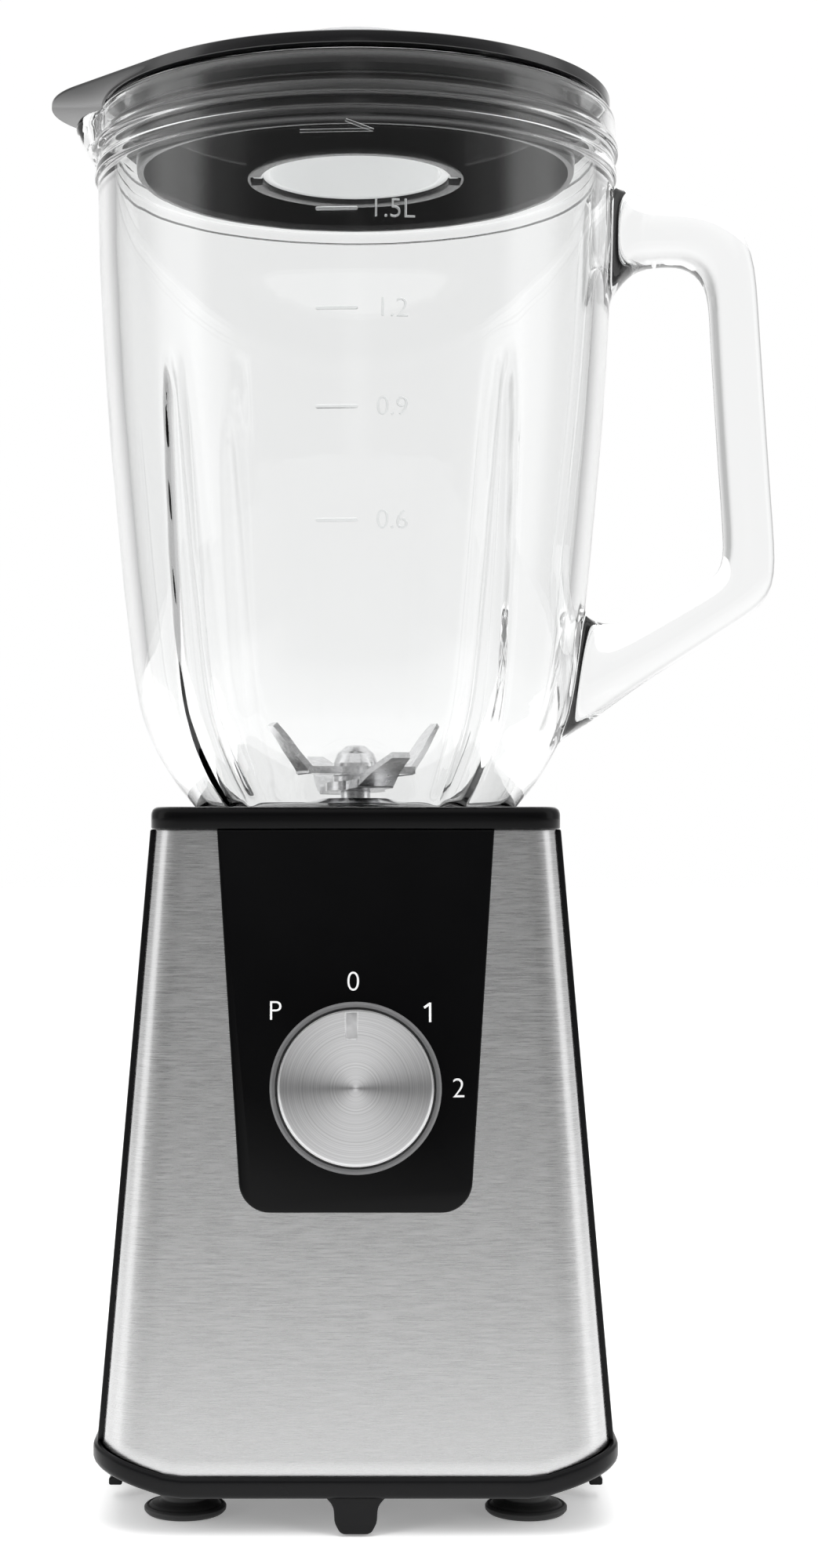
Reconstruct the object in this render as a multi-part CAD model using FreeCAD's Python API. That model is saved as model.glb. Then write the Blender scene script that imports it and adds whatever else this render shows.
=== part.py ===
import FreeCAD, Part
import math
import os

V = FreeCAD.Vector
os.makedirs("parts", exist_ok=True)

# ---------------------------------------------------------------- driving sizes, mm
BODY_Z0, BODY_Z1 = 14.0, 172.0           # tapered body, bottom and top
BODY_HX = (64.5, 51.5)                   # half width at the bottom and at the top
BODY_HY = (64.0, 51.5)                   # half depth at the bottom and at the top
BODY_R = (13.0, 9.0)                     # corner radius at the bottom and at the top
HY_TAPER = (BODY_HY[0] - BODY_HY[1]) / (BODY_Z1 - BODY_Z0)
TILT = math.degrees(math.atan(HY_TAPER))  # lean of the front face

BASE_Z0, BASE_Z1 = 9.1, 14.4             # base plate band
BEND_X, BEND_RISE = 45.0, 0.333          # where the band turns up at the sides, and its slope
FOOT_X, FOOT_Y, FOOT_R = 42.9, 40.0, 10.2
SCREW_X, SCREW_Y = 30.0, 54.0
WALL = 2.1                               # housing wall
SKIN_IN, SKIN_T = 1.3, 0.8               # steel sheet: set back, thickness
SKIN_BACK_Y = 11.5                       # how far the sheet wraps back from the front face

PANEL_TOP_HX, PANEL_LOW_HX, PANEL_Z0, PANEL_R = 34.4, 28.2, 78.0, 7.7
KNOB_Z, KNOB_R, CAP_R = 108.6, 20.7, 18.6

COLLAR_Z0, COLLAR_Z1, COLLAR_H, COLLAR_R = 172.0, 177.5, 51.3, 8.5
WELL_R, WELL_WALL, WELL_FLOOR = 43.8, 2.4, 156.0

GLASS_T = 4.5
RIM_Z = 361.0
JAR_PROFILE = [(41.6, 175.6), (44.5, 179.6), (50.4, 187.9), (54.7, 196.3), (57.5, 204.5), (59.5, 217.0),
               (61.6, 233.7), (63.9, 258.6), (66.6, 292.0), (68.1, 321.0), (68.6, 345.0), (69.5, 348.0),
               (69.5, 359.0), (68.6, RIM_Z)]
RIB_TOP, RIB_HALF = 288.0, 5.2
RIB_ANGLES = (226.0, 306.0, 46.0, 126.0)
HANDLE_T = 15.0

LID_Z0, LID_Z1, LID_R = 361.4, 365.2, 67.6
BEAK_R, BEAK_X, BEAK_T = 30.0, -51.3, 1.6  # rounded pouring beak: radius, centre, thickness
PLUG_R, PLUG_Z0, NECK_R, HOLE_R = 58.2, 344.8, 29.0, 25.4
RUN = 0.05                               # radial running clearance of a shaft


# ---------------------------------------------------------------- helpers
def save(name, *solids):
    shape = solids[0] if len(solids) == 1 else Part.makeCompound(list(solids))
    if len(solids) == 1 and shape.ShapeType == "Compound" and len(shape.Solids) == 1:
        shape = shape.Solids[0]
    for s in shape.Solids:
        if not s.isValid():
            print("not valid:", name)
    print(name, len(shape.Solids), round(shape.Volume))
    shape.exportStep("parts/%s.step" % name)


def cyl(r, z0, z1, x=0.0, y=0.0):
    return Part.makeCylinder(r, z1 - z0, V(x, y, z0))


def tube(ro, ri, z0, z1, x=0.0, y=0.0):
    return cyl(ro, z0, z1, x, y).cut(cyl(ri, z0 - 1, z1 + 1, x, y))


def box(x0, x1, y0, y1, z0, z1):
    return Part.makeBox(x1 - x0, y1 - y0, z1 - z0, V(x0, y0, z0))


def round_rect(hx, hy, r, z):
    """Closed wire of a rectangle with rounded corners, centred on the axis."""
    corners = [(hx, hy, 0), (-hx, hy, 90), (-hx, -hy, 180), (hx, -hy, 270)]
    arcs = []
    for x, y, a0 in corners:
        c = V(x - math.copysign(r, x), y - math.copysign(r, y), z)
        pts = [c + V(r * math.cos(math.radians(a)), r * math.sin(math.radians(a)), 0)
               for a in (a0, a0 + 45, a0 + 90)]
        arcs.append((pts[0], Part.Arc(*pts).toShape(), pts[2]))
    edges = []
    for i, (start, arc, end) in enumerate(arcs):
        edges += [arc, Part.LineSegment(end, arcs[(i + 1) % 4][0]).toShape()]
    return Part.Wire(edges)


def body_block(inset, z0, z1):
    """The tapered body between two heights, moved inwards by inset."""
    wires = []
    for z in (z0, z1):
        t = (z - BODY_Z0) / (BODY_Z1 - BODY_Z0)
        hx = BODY_HX[0] + (BODY_HX[1] - BODY_HX[0]) * t - inset
        hy = BODY_HY[0] + (BODY_HY[1] - BODY_HY[0]) * t - inset
        r = BODY_R[0] + (BODY_R[1] - BODY_R[0]) * t - inset
        wires.append(round_rect(hx, hy, max(r, 1.0), z))
    return Part.makeLoft(wires, True, True)


def front_y(z):
    return -(BODY_HY[0] - HY_TAPER * (z - BODY_Z0))


def polygon(points, radii):
    """Closed wire in the XZ plane through points, each corner rounded by its radius."""
    pts = [V(x, 0, z) for x, z in points]
    n = len(pts)
    edges, ends = [], []
    for i in range(n):
        p, a, b = pts[i], pts[i - 1], pts[(i + 1) % n]
        u, w = (a - p).normalize(), (b - p).normalize()
        r = radii[i]
        if r <= 0:
            ends.append((p, None, p))
            continue
        half = u.getAngle(w) / 2
        d = r / math.tan(half)
        centre = p + (u + w).normalize() * (r / math.sin(half))
        mid = centre + (p - centre).normalize() * r
        ends.append((p + u * d, mid, p + w * d))
    for i in range(n):
        start, mid, end = ends[i]
        if mid is not None:
            edges.append(Part.Arc(start, mid, end).toShape())
        nxt = ends[(i + 1) % n][0]
        if (nxt - end).Length > 1e-6:
            edges.append(Part.LineSegment(end, nxt).toShape())
    return Part.Wire(edges)


def prism_y(points, radii, y0, y1):
    """Outline in XZ, extruded along Y."""
    face = Part.Face(polygon(points, radii))
    face.translate(V(0, y0, 0))
    return face.extrude(V(0, y1 - y0, 0))


def revolve(points):
    """Solid of revolution about Z from (radius, height) points."""
    wire = Part.makePolygon([V(r, 0, z) for r, z in points] + [V(points[0][0], 0, points[0][1])])
    return Part.Face(wire).revolve(V(0, 0, 0), V(0, 0, 1), 360)


def turned(shape, angle, centre=V(0, 0, 0), axis=V(0, 0, 1)):
    out = shape.copy()
    out.rotate(centre, axis, angle)
    return out


def edge_band(lift, half=80.0):
    """Everything above the base plate's bent edge line, lifted by lift."""
    rise = BEND_RISE * (half - BEND_X)
    pts = [(-half, BASE_Z0 + lift + rise), (-BEND_X, BASE_Z0 + lift), (BEND_X, BASE_Z0 + lift),
           (half, BASE_Z0 + lift + rise), (half, 400), (-half, 400)]
    return prism_y(pts, [0] * 6, -90, 90)


# ---------------------------------------------------------------- base plate
def base_plate():
    slab = body_block(-0.4, BASE_Z0, 30).common(edge_band(0)).cut(edge_band(BASE_Z1 - BASE_Z0))
    slab = slab.cut(body_block(2.0, 8, 40).common(edge_band(2.3)))
    tongue_pts = [(-7.5, 10.6), (-5.2, 5.6), (-5.2, 0.5), (5.2, 0.5), (5.2, 5.6), (7.5, 10.6)]
    slab = slab.fuse(prism_y(tongue_pts, [0, 3.5, 5.0, 5.0, 3.5, 0], -63.0, -60.8))
    for side in (-1, 1):
        hook = box(60.2, 62.6, -28, -22, 5.0, 16.0).fuse(box(60.2, 64.0, -28, -22, 3.4, 5.4))
        if side < 0:
            hook = hook.mirror(V(0, 0, 0), V(1, 0, 0))
        slab = slab.fuse(hook)
    for sx in (-1, 1):
        for sy in (-1, 1):
            slab = slab.cut(cyl(3.6, 5, 12, sx * FOOT_X * 0.97, sy * FOOT_Y))
            slab = slab.cut(cyl(1.6, 5, 15, sx * SCREW_X, sy * SCREW_Y))
            slab = slab.cut(cyl(3.2, 5, BASE_Z0 + 1.0, sx * SCREW_X, sy * SCREW_Y))
    for i in range(-4, 5):
        slab = slab.cut(box(i * 5 - 1.2, i * 5 + 1.2, -18, 18, 5, 14))
    save("base_plate", slab.removeSplitter())


def feet():
    out = []
    for sx in (-1, 1):
        for sy in (-1, 1):
            x, y = sx * FOOT_X, sy * FOOT_Y
            foot = revolve([(6.5, 0), (FOOT_R - 0.6, 0), (FOOT_R, 0.7), (FOOT_R, 1.3), (8.2, 2.9), (5.5, 3.6),
                            (5.5, BASE_Z0 - 0.05), (0, BASE_Z0 - 0.05), (0, 2.0)])
            foot.translate(V(x, y, 0))
            plug = cyl(3.5, BASE_Z0 - 0.5, 13.6, sx * FOOT_X * 0.97, y)
            out.append(foot.fuse(plug).removeSplitter())
    save("feet", *out)


def base_screws():
    out = []
    for sx in (-1, 1):
        for sy in (-1, 1):
            x, y = sx * SCREW_X, sy * SCREW_Y
            head = cyl(2.9, BASE_Z0 + 0.1, BASE_Z0 + 0.95, x, y).fuse(cyl(1.5, BASE_Z0 + 0.9, 24, x, y))
            out.append(head.cut(box(x - 2, x + 2, y - 0.35, y + 0.35, 9, 9.7)).removeSplitter())
    save("base_screws", *out)


# ---------------------------------------------------------------- housing and covers
def housing():
    outer = body_block(0, BODY_Z0, 171.6)
    front = box(-90, 90, -90, 0, 0, 200).common(body_block(-5, 5, 199))
    front = front.cut(body_block(SKIN_IN + SKIN_T + 0.1, 5, 199))
    split = prism_yz_cut()
    outer = outer.cut(front.common(split))
    behind = split.copy()
    behind.translate(V(0, WALL + 1.0, 0))
    inside = body_block(SKIN_IN + SKIN_T + 0.1 + WALL, 5, 199).fuse(body_block(WALL, 5, 199).cut(behind))
    hollow = outer.cut(inside).common(edge_band(BASE_Z1 - BASE_Z0 + 0.15))
    for sx in (-1, 1):
        for sy in (-1, 1):
            boss = cyl(4.2, BASE_Z0 + 2.6, 42, sx * SCREW_X, sy * SCREW_Y)
            y0, y1 = sorted((sy * 54, sy * 63))
            rib = box(sx * SCREW_X - 1.2, sx * SCREW_X + 1.2, y0, y1, 15, 42)
            hollow = hollow.fuse(boss.fuse(rib.common(body_block(2.6 if sy < 0 else 1.0, 5, 199))))
            hollow = hollow.cut(cyl(1.55, 5, 30, sx * SCREW_X, sy * SCREW_Y))
    for x in (-22, 22):
        for z in (64, 96):
            post = Part.makeCylinder(2.5, 15, V(x, 45.7, z), V(0, 1, 0))
            hollow = hollow.fuse(post.common(body_block(1.0, 5, 199)))
    for i in range(8):
        z = 44 + i * 7
        hollow = hollow.cut(prism_y([(-22, z), (22, z), (22, z + 2.6), (-22, z + 2.6)], [1.2] * 4, 40, 80))
    hollow = hollow.cut(Part.makeCylinder(5.4, 40, V(0, 40, 27), V(0, 1, 0)))
    hollow = hollow.cut(Part.makeCylinder(6.5, 30, V(0, -75, KNOB_Z), V(0, 1, 0)))
    save("housing", hollow.removeSplitter())


def prism_yz_cut():
    """Region in front of the line where the steel sheet ends, leaning with the front face."""
    pts = [V(-90, front_y(5) + SKIN_BACK_Y, 5), V(-90, front_y(199) + SKIN_BACK_Y, 199),
           V(-90, -120, 199), V(-90, -120, 5)]
    return Part.Face(Part.makePolygon(pts + [pts[0]])).extrude(V(180, 0, 0))


def panel_outline(grow=0.0, top=171.7):
    return ([(-PANEL_LOW_HX - grow, PANEL_Z0 - grow), (PANEL_LOW_HX + grow, PANEL_Z0 - grow),
             (PANEL_TOP_HX + grow, top), (-PANEL_TOP_HX - grow, top)],
            [PANEL_R + grow, PANEL_R + grow, 0, 0])


def front_cover():
    sheet = body_block(SKIN_IN, 10, 171.5).cut(body_block(SKIN_IN + SKIN_T, 5, 199))
    back = prism_yz_cut()
    back.translate(V(0, -0.4, 0))
    sheet = sheet.common(back).common(edge_band(BASE_Z1 - BASE_Z0 + 0.05))
    pts, radii = panel_outline(0.3, 175)
    save("front_cover", sheet.cut(prism_y(pts, radii, -90, 0)).removeSplitter())


def control_panel():
    shell = body_block(0.6, 60, 171.8).cut(body_block(SKIN_IN + SKIN_T, 55, 199))
    pts, radii = panel_outline(0, 171.7)
    panel = shell.common(prism_y(pts, radii, -90, 0))
    save("control_panel", panel.cut(Part.makeCylinder(5.0, 40, V(0, -80, KNOB_Z), V(0, 1, 0))))


def top_collar():
    outline = Part.Face(round_rect(COLLAR_H, COLLAR_H, COLLAR_R, COLLAR_Z0))
    plate = outline.extrude(V(0, 0, COLLAR_Z1 - COLLAR_Z0))
    rim = [e for e in plate.Edges
           if abs(e.BoundBox.ZMin - COLLAR_Z1) < 0.01 and abs(e.BoundBox.ZMax - COLLAR_Z1) < 0.01]
    plate = plate.makeFillet(2.4, rim)
    well = cyl(WELL_R + WELL_WALL, WELL_FLOOR - 2.5, COLLAR_Z0 + 1)
    collar = plate.fuse(well).cut(cyl(WELL_R, WELL_FLOOR, 190)).cut(cyl(17.0, 140, 190))
    for k in range(4):
        lug = box(WELL_R - 1.2, WELL_R + 1.0, -4, 4, WELL_FLOOR - 1, WELL_FLOOR + 6)
        collar = collar.fuse(turned(lug, 45 + 90 * k))
    mouth = Part.makeCone(WELL_R, WELL_R + 1.4, 1.4, V(0, 0, COLLAR_Z1 - 1.4))
    save("top_collar", collar.cut(mouth).removeSplitter())


def cord_gland():
    y = 64.0 - HY_TAPER * 13
    gland = Part.makeCylinder(5.3, 9, V(0, y - 6.5, 27), V(0, 1, 0))
    gland = gland.fuse(Part.makeCylinder(7.4, 2.2, V(0, y + 0.7, 27), V(0, 1, 0)))
    gland = gland.fuse(Part.makeCylinder(6.8, 1.6, V(0, y - 6.5, 27), V(0, 1, 0)))
    save("cord_gland", gland.cut(Part.makeCylinder(3.4, 40, V(0, y - 20, 27), V(0, 1, 0))))


# ---------------------------------------------------------------- motor
def motor():
    stack = box(-28, 28, -24, 24, 72, 106)
    stack = stack.makeFillet(6, [e for e in stack.Edges if abs(e.BoundBox.ZLength - 34) < 0.01])
    stack = stack.cut(cyl(18.0, 60, 120)).cut(box(-21, 21, -11, 11, 60, 120))
    for sx in (-1, 1):
        stack = stack.cut(cyl(1.7, 60, 120, sx * 24, 18)).cut(cyl(1.7, 60, 120, sx * 24, -18))
    save("motor_stator", stack)
    coils = []
    for sx in (-1, 1):
        ring = box(18.3, 20.8, -10.6, 10.6, 64, 114).cut(box(10, 30, -7.4, 7.4, 71.6, 106.4))
        ring = ring.cut(cyl(18.2, 60, 120))
        coils.append(ring if sx > 0 else ring.mirror(V(0, 0, 0), V(1, 0, 0)))
    save("field_coils", *coils)

    upper = box(-28, 28, -9, 9, 118, 121).fuse(cyl(11, 118, 126))
    lower = box(-28, 28, -9, 9, 46, 49).fuse(cyl(11, 44, 52))
    lower = lower.fuse(box(-5, 5, -23, 23, 46, 50.9))
    for sx in (-1, 1):
        upper = upper.fuse(box(sx * 33 - 5, sx * 33 + 5, -25, 25, 118, 121))
        upper = upper.fuse(box(min(sx * 20, sx * 30), max(sx * 20, sx * 30), -22, 22, 118, 121))
        lower = lower.fuse(box(sx * 24 - 4, sx * 24 + 4, -18, 18, 46, 49))
        for y in (18, -18):
            upper = upper.fuse(cyl(4, 106.2, 121, sx * 24, y))
            lower = lower.fuse(cyl(4, 46, 71.8, sx * 24, y))
    upper = upper.cut(cyl(8.05, 119, 130)).cut(cyl(6.0, 100, 130))
    lower = lower.cut(cyl(8.05, 45.5, 60)).cut(cyl(4.4, 40, 60))
    holes = [cyl(1.7, 40, 130, sx * 24, y) for sx in (-1, 1) for y in (18, -18)]
    for h in holes:
        upper, lower = upper.cut(h), lower.cut(h)
    save("upper_bracket", upper.removeSplitter())
    save("lower_bracket", lower.removeSplitter())
    save("bearings", tube(8.0, 4.0 + RUN, 119.2, 125.2), tube(8.0, 4.0 + RUN, 45.7, 50.7))
    save("motor_screws", *[cyl(1.6, 45.9, 121.1, sx * 24, y).fuse(cyl(3.2, 121.05, 123.4, sx * 24, y))
                           for sx in (-1, 1) for y in (18, -18)])

    holders, brushes = [], []
    for sy in (-1, 1):
        holder = box(-4.2, 4.2, 9.6, 23, 53.2, 61.2).cut(box(-2.6, 2.6, 5, 22, 54.8, 59.6))
        holder = holder.fuse(box(-4.2, 4.2, 19, 23, 51, 54))
        brush = box(-2.5, 2.5, 8.9, 19, 54.9, 59.5).cut(cyl(8.85, 50, 62))
        if sy < 0:
            holder, brush = (s.mirror(V(0, 0, 0), V(0, 1, 0)) for s in (holder, brush))
        holders.append(holder)
        brushes.append(brush)
    save("brush_holders", *holders)
    save("carbon_brushes", *brushes)

    mounts = []
    for sx in (-1, 1):
        for sy in (-1, 1):
            post = cyl(4.6, 121.05, 153.4, sx * 33, sy * 20)
            mounts.append(post.cut(tube(6, 3.4, 133, 141, sx * 33, sy * 20)))
    save("motor_mounts", *mounts)

    shaft = cyl(4.0, 43, 147).fuse(cyl(3.0, 147, 154))
    save("motor_shaft", shaft)
    core = tube(17.2, 4.0, 72, 106)
    for k in range(12):
        core = core.cut(turned(box(14.6, 18, -0.8, 0.8, 60, 120), 30 * k))
    windings = tube(14.4, 4.0, 65, 72).fuse(tube(14.4, 4.0, 106, 113))
    save("armature", core.fuse(windings).removeSplitter())
    comm = tube(8.5, 4.0, 52.6, 63.4)
    for k in range(12):
        comm = comm.cut(turned(box(7.6, 9, -0.25, 0.25, 50, 62.4), 30 * k + 15))
    save("commutator", comm)
    fan = tube(7, 4.0, 128, 137).fuse(tube(30, 4.0, 135.6, 137))
    for k in range(9):
        fan = fan.fuse(turned(box(6, 29.5, -0.7, 0.7, 128.5, 136), 40 * k))
    save("cooling_fan", fan.removeSplitter())
    drive = cyl(12, 147.2, 155).fuse(star(8.4, 2.0, 155, 161)).cut(cyl(3.0, 140, 154.1))
    save("drive_coupling", drive.removeSplitter())


def star(r, lobe_r, z0, z1):
    """Six-lobed drive star."""
    out = cyl(r, z0, z1)
    for k in range(6):
        a = math.radians(60 * k)
        out = out.fuse(cyl(lobe_r, z0, z1, 8.4 * math.cos(a), 8.4 * math.sin(a)))
    return out.removeSplitter()


# ---------------------------------------------------------------- knob, switch, board
KNOB_AT = V(0, front_y(KNOB_Z) + 0.6, KNOB_Z)     # on the panel's face


def on_front(shape):
    """Moves a shape drawn about +Z so that +Z points out of the front face at the knob."""
    out = shape.copy()
    out.rotate(V(0, 0, 0), V(1, 0, 0), 90 - TILT)
    out.translate(KNOB_AT)
    return out


def knob():
    body = cyl(KNOB_R, 0.6, 10.6).fuse(cyl(KNOB_R - 0.9, 10.6, 11.4)).cut(cyl(KNOB_R - 2.4, 0, 7.0))
    body = body.fuse(cyl(5.5, 1.0, 8.0)).cut(cyl(3.0, 0, 8.5))
    for k in range(60):
        a = math.radians(6 * k)
        body = body.cut(cyl(0.35, 1.4, 10.6, (KNOB_R + 0.1) * math.cos(a), (KNOB_R + 0.1) * math.sin(a)))
    save("knob_body", on_front(body))
    cap = cyl(CAP_R, 11.45, 14.2).fuse(Part.makeCone(CAP_R, CAP_R - 0.8, 0.8, V(0, 0, 14.2)))
    mark = box(-1.35, 1.35, 11.2, 20, 14.4, 16).fuse(cyl(1.35, 14.4, 16, 0, 11.2))
    save("knob_cap", on_front(cap.cut(mark)))
    save("switch_spindle", on_front(cyl(3.0 - 0.01, -12.0, 8.4).cut(box(2.2, 4, -4, 4, 1, 9))))


def switch_gear():
    body = box(-14, 14, -14, 14, -22, -6.2).cut(cyl(3.0 + RUN, -13, 0))
    neck = tube(4.6, 3.0 + RUN, -6.3, -0.2)
    save("rotary_switch", on_front(body.fuse(neck)))
    save("switch_nut", on_front(tube(6.2, 4.65, -5.9, -4.2)))
    board = box(-26, 26, 44, 45.6, 60, 100)
    parts = [(-18, -8, 64, 76, 9), (-2, 6, 66, 80, 7), (12, 20, 84, 94, 6), (-20, -10, 84, 90, 5)]
    for x0, x1, z0, z1, h in parts:
        board = board.fuse(box(x0, x1, 44 - h, 44.1, z0, z1))
    save("circuit_board", board.removeSplitter())
    micro = box(26, 38, -6, 6, 141, 153.2).cut(cyl(1.4, 140, 147, 32, 3)).fuse(cyl(1.6, 138, 141.1, 29, 0))
    save("interlock_switch", micro.fuse(cyl(1.6, 138, 141.1, 35, 0)).removeSplitter())


# ---------------------------------------------------------------- jar
def jar_inner():
    inner = [(0, 179.0), (34.0, 179.0), (42.5, 181.5)]
    for r, z in JAR_PROFILE[2:-1]:
        rr = min(r, 68.5) - GLASS_T
        inner.append((rr, z if z < 350 else 352.0))
    inner = inner[:-2] + [(64.0, 352.0), (65.2, RIM_Z + 1), (0, RIM_Z + 1)]
    return revolve(inner)


def rib_wedge(half, top):
    pts = [V(36, -half, 172), V(36, half, 172), V(36, 0.4, top), V(36, -0.4, top)]
    return Part.Face(Part.makePolygon(pts + [pts[0]])).extrude(V(54, 0, 0))


def glass_jar():
    outer = revolve([(0, 175.0)] + [(40.6, 175.0)] + JAR_PROFILE + [(0, RIM_Z)])
    points = [(58, 338.7), (103.5, 338.7), (106.6, 325.0), (112.2, 243.5), (108.5, 231.0), (70.2, 206.6),
              (50, 194.0), (50, 214.0), (91.5, 237.2), (98.8, 243.0), (94.2, 322.5), (58, 322.5)]
    radii = [0, 13, 9, 8, 8, 0, 0, 0, 3, 7, 12, 0]
    handle = prism_y(points, radii, -HANDLE_T / 2, HANDLE_T / 2)
    rim_edges = [e for e in handle.Edges if e.BoundBox.YLength < 0.01 and e.BoundBox.XMax > 60]
    handle = handle.makeFillet(4.5, rim_edges)
    lip = Part.makeLoft([Part.Wire(Part.makeCircle(r, V(x, 0, z))) for r, x, z in
                         ((6.0, -60.0, 346.5), (8.6, -66.4, 356), (8.6, -66.4, RIM_Z))], True, True)
    pour = Part.makeLoft([Part.Wire(Part.makeCircle(r, V(x, 0, z))) for r, x, z in
                          ((3.0, -58.0, 349.5), (5.2, -66.2, 357), (5.2, -66.4, RIM_Z + 1))], True, True)
    neck = tube(38.0, 33.5, 164.0, 176.0)
    inside = jar_inner()
    ribs_out, ribs_in = [], []
    band_out = outer.cut(revolve([(0, 170)] + [(r - 2.3, z) for r, z in JAR_PROFILE[:-4]] + [(0, 345)]))
    core = [(r - GLASS_T - 3.2, z) for r, z in JAR_PROFILE[2:-4]]
    band_in = inside.cut(revolve([(0, 178)] + core + [(0, 345)]))
    for a in RIB_ANGLES:
        ribs_out.append(turned(rib_wedge(RIB_HALF, RIB_TOP), a).common(band_out))
        ribs_in.append(turned(rib_wedge(RIB_HALF + 3, RIB_TOP + 6), a).common(band_in))
    jar = outer.fuse(handle).fuse(lip).fuse(neck).cut(inside).cut(pour)
    for s in ribs_in:
        jar = jar.fuse(s)
    for s in ribs_out:
        jar = jar.cut(s)
    save("glass_jar", jar.cut(cyl(8.2, 160, 185)).removeSplitter())


def jar_fittings():
    ring = tube(43.2, 38.1, 156.3, 174.9).fuse(tube(43.2, 24, 156.3, 158.8))
    ring = ring.fuse(tube(39, 33.4, 158.8, 163.9))
    for k in range(4):
        slot = box(WELL_R - 1.6, WELL_R + 2, -4.6, 4.6, 150, WELL_FLOOR + 6.6)
        ring = ring.cut(turned(slot, 45 + 90 * k))
    save("jar_base", ring.removeSplitter())
    bush = cyl(8.15, 166.0, 179.2).fuse(Part.makeCone(14, 9, 3.4, V(0, 0, 179.05)))
    save("blade_bush", bush.cut(cyl(4.0 + RUN, 150, 190)))
    save("bush_gasket", tube(14, 8.2, 173.4, 174.95))
    nut = Part.Face(Part.makePolygon([V(13.5 * math.cos(math.radians(60 * k)), 13.5 * math.sin(
        math.radians(60 * k)), 168.6) for k in range(7)])).extrude(V(0, 0, 4.7))
    save("bush_nut", nut.cut(cyl(8.2, 150, 190)))


def blade_pair(name, z, reach, width, rise, turn, up):
    """Flat hub with two wings bent up or down, from one strip 1.5 thick."""
    strip = tube(8.0, 3.0, z, z + 1.5)
    pts = [V(5, -width / 2, z), V(15, -width / 2, z), V(15, width / 2, z), V(5, width / 2, z)]
    flat = Part.Face(Part.makePolygon(pts + [pts[0]])).extrude(V(0, 0, 1.5))
    tip = [V(14.4, -width / 2, z), V(reach, -0.8, z), V(reach, width / 2 - 1, z), V(14.4, width / 2, z)]
    wing = Part.Face(Part.makePolygon(tip + [tip[0]])).extrude(V(0, 0, 1.5))
    wing.rotate(V(14.6, 0, z), V(0, -1, 0), rise * (1 if up else -1))
    arm = flat.fuse(wing)
    both = strip.fuse(arm).fuse(turned(arm, 180))
    both = both.cut(cyl(3.0, 100, 250))
    save(name, turned(both, turn).removeSplitter())


def blades():
    save("blade_shaft", cyl(4.0, 161.6, 185.0).fuse(cyl(3.0, 185.0, 193.5)))
    blade_pair("blades_upper", 187.8, 29.5, 11, 48, 20, True)
    blade_pair("blades_lower", 185.05, 30.5, 10, 22, 110, True)
    save("blade_spacer", tube(6.0, 3.0, 186.6, 187.75))
    nut = Part.Face(Part.makePolygon([V(6.2 * math.cos(math.radians(60 * k)), 6.2 * math.sin(
        math.radians(60 * k)), 189.35) for k in range(7)])).extrude(V(0, 0, 4.0))
    save("blade_nut", nut.fuse(cyl(4.6, 193.3, 194.6)).cut(cyl(3.0, 150, 193.5)).removeSplitter())
    cup = cyl(15, 156.6, 165.0).cut(star(8.8, 2.4, 150, 161.4)).cut(cyl(4.0, 161.3, 170))
    save("driven_coupling", cup.removeSplitter())


# ---------------------------------------------------------------- lid
def lid():
    disc = cyl(LID_R, LID_Z0, LID_Z1)
    a = math.acos((LID_R - BEAK_R) / -BEAK_X)
    c, d = math.cos(a), math.sin(a)
    rim_a, rim_b = V(-LID_R * c, -LID_R * d, 0), V(-LID_R * c, LID_R * d, 0)
    tip_a, tip_b = V(BEAK_X - BEAK_R * c, -BEAK_R * d, 0), V(BEAK_X - BEAK_R * c, BEAK_R * d, 0)
    beak = Part.Wire([Part.LineSegment(rim_a, tip_a).toShape(),
                      Part.Arc(tip_a, V(BEAK_X - BEAK_R, 0, 0), tip_b).toShape(),
                      Part.LineSegment(tip_b, rim_b).toShape(), Part.LineSegment(rim_b, rim_a).toShape()])
    beak.translate(V(0, 0, LID_Z1 - BEAK_T))
    disc = disc.fuse(Part.Face(beak).extrude(V(0, 0, BEAK_T))).removeSplitter()
    shell = disc.fuse(tube(PLUG_R, PLUG_R - 2.2, PLUG_Z0, LID_Z0 + 0.5))
    shell = shell.fuse(tube(NECK_R, HOLE_R, PLUG_Z0, LID_Z0 + 0.5))
    shell = shell.cut(cyl(HOLE_R, 340, 370))
    for side in (0, 180):
        shell = shell.cut(turned(box(20, 28.2, -3.6, 3.6, 340, 370), side))
    groove = tube(PLUG_R + 0.5, PLUG_R - 1.0, 352.2, 356.8)
    save("lid", shell.cut(groove).removeSplitter())
    seal = tube(61.0, PLUG_R - 0.9, 352.3, 356.7)
    for z in (353.2, 355.2):
        seal = seal.fuse(tube(63.6, 60.5, z, z + 1.0))
    save("lid_seal", seal.removeSplitter())


def filler_cap():
    cap = revolve([(0, 377.4), (18.5, 377.4), (22.6, 368.0), (22.9, 346.2), (25.1, 346.2), (25.1, 365.6),
                   (30.2, 365.6), (30.2, 368.2), (27.5, 369.0), (24.5, 378.2), (21.5, 380.0), (0, 380.0)])
    for side in (0, 180):
        cap = cap.fuse(turned(box(24.2, 27.7, -3.2, 3.2, 346.2, 348.6), side))
    save("filler_cap", cap.removeSplitter())


for build in (base_plate, feet, base_screws, housing, front_cover, control_panel, top_collar, cord_gland,
              motor, knob, switch_gear, glass_jar, jar_fittings, blades, lid, filler_cap):
    build()
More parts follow.
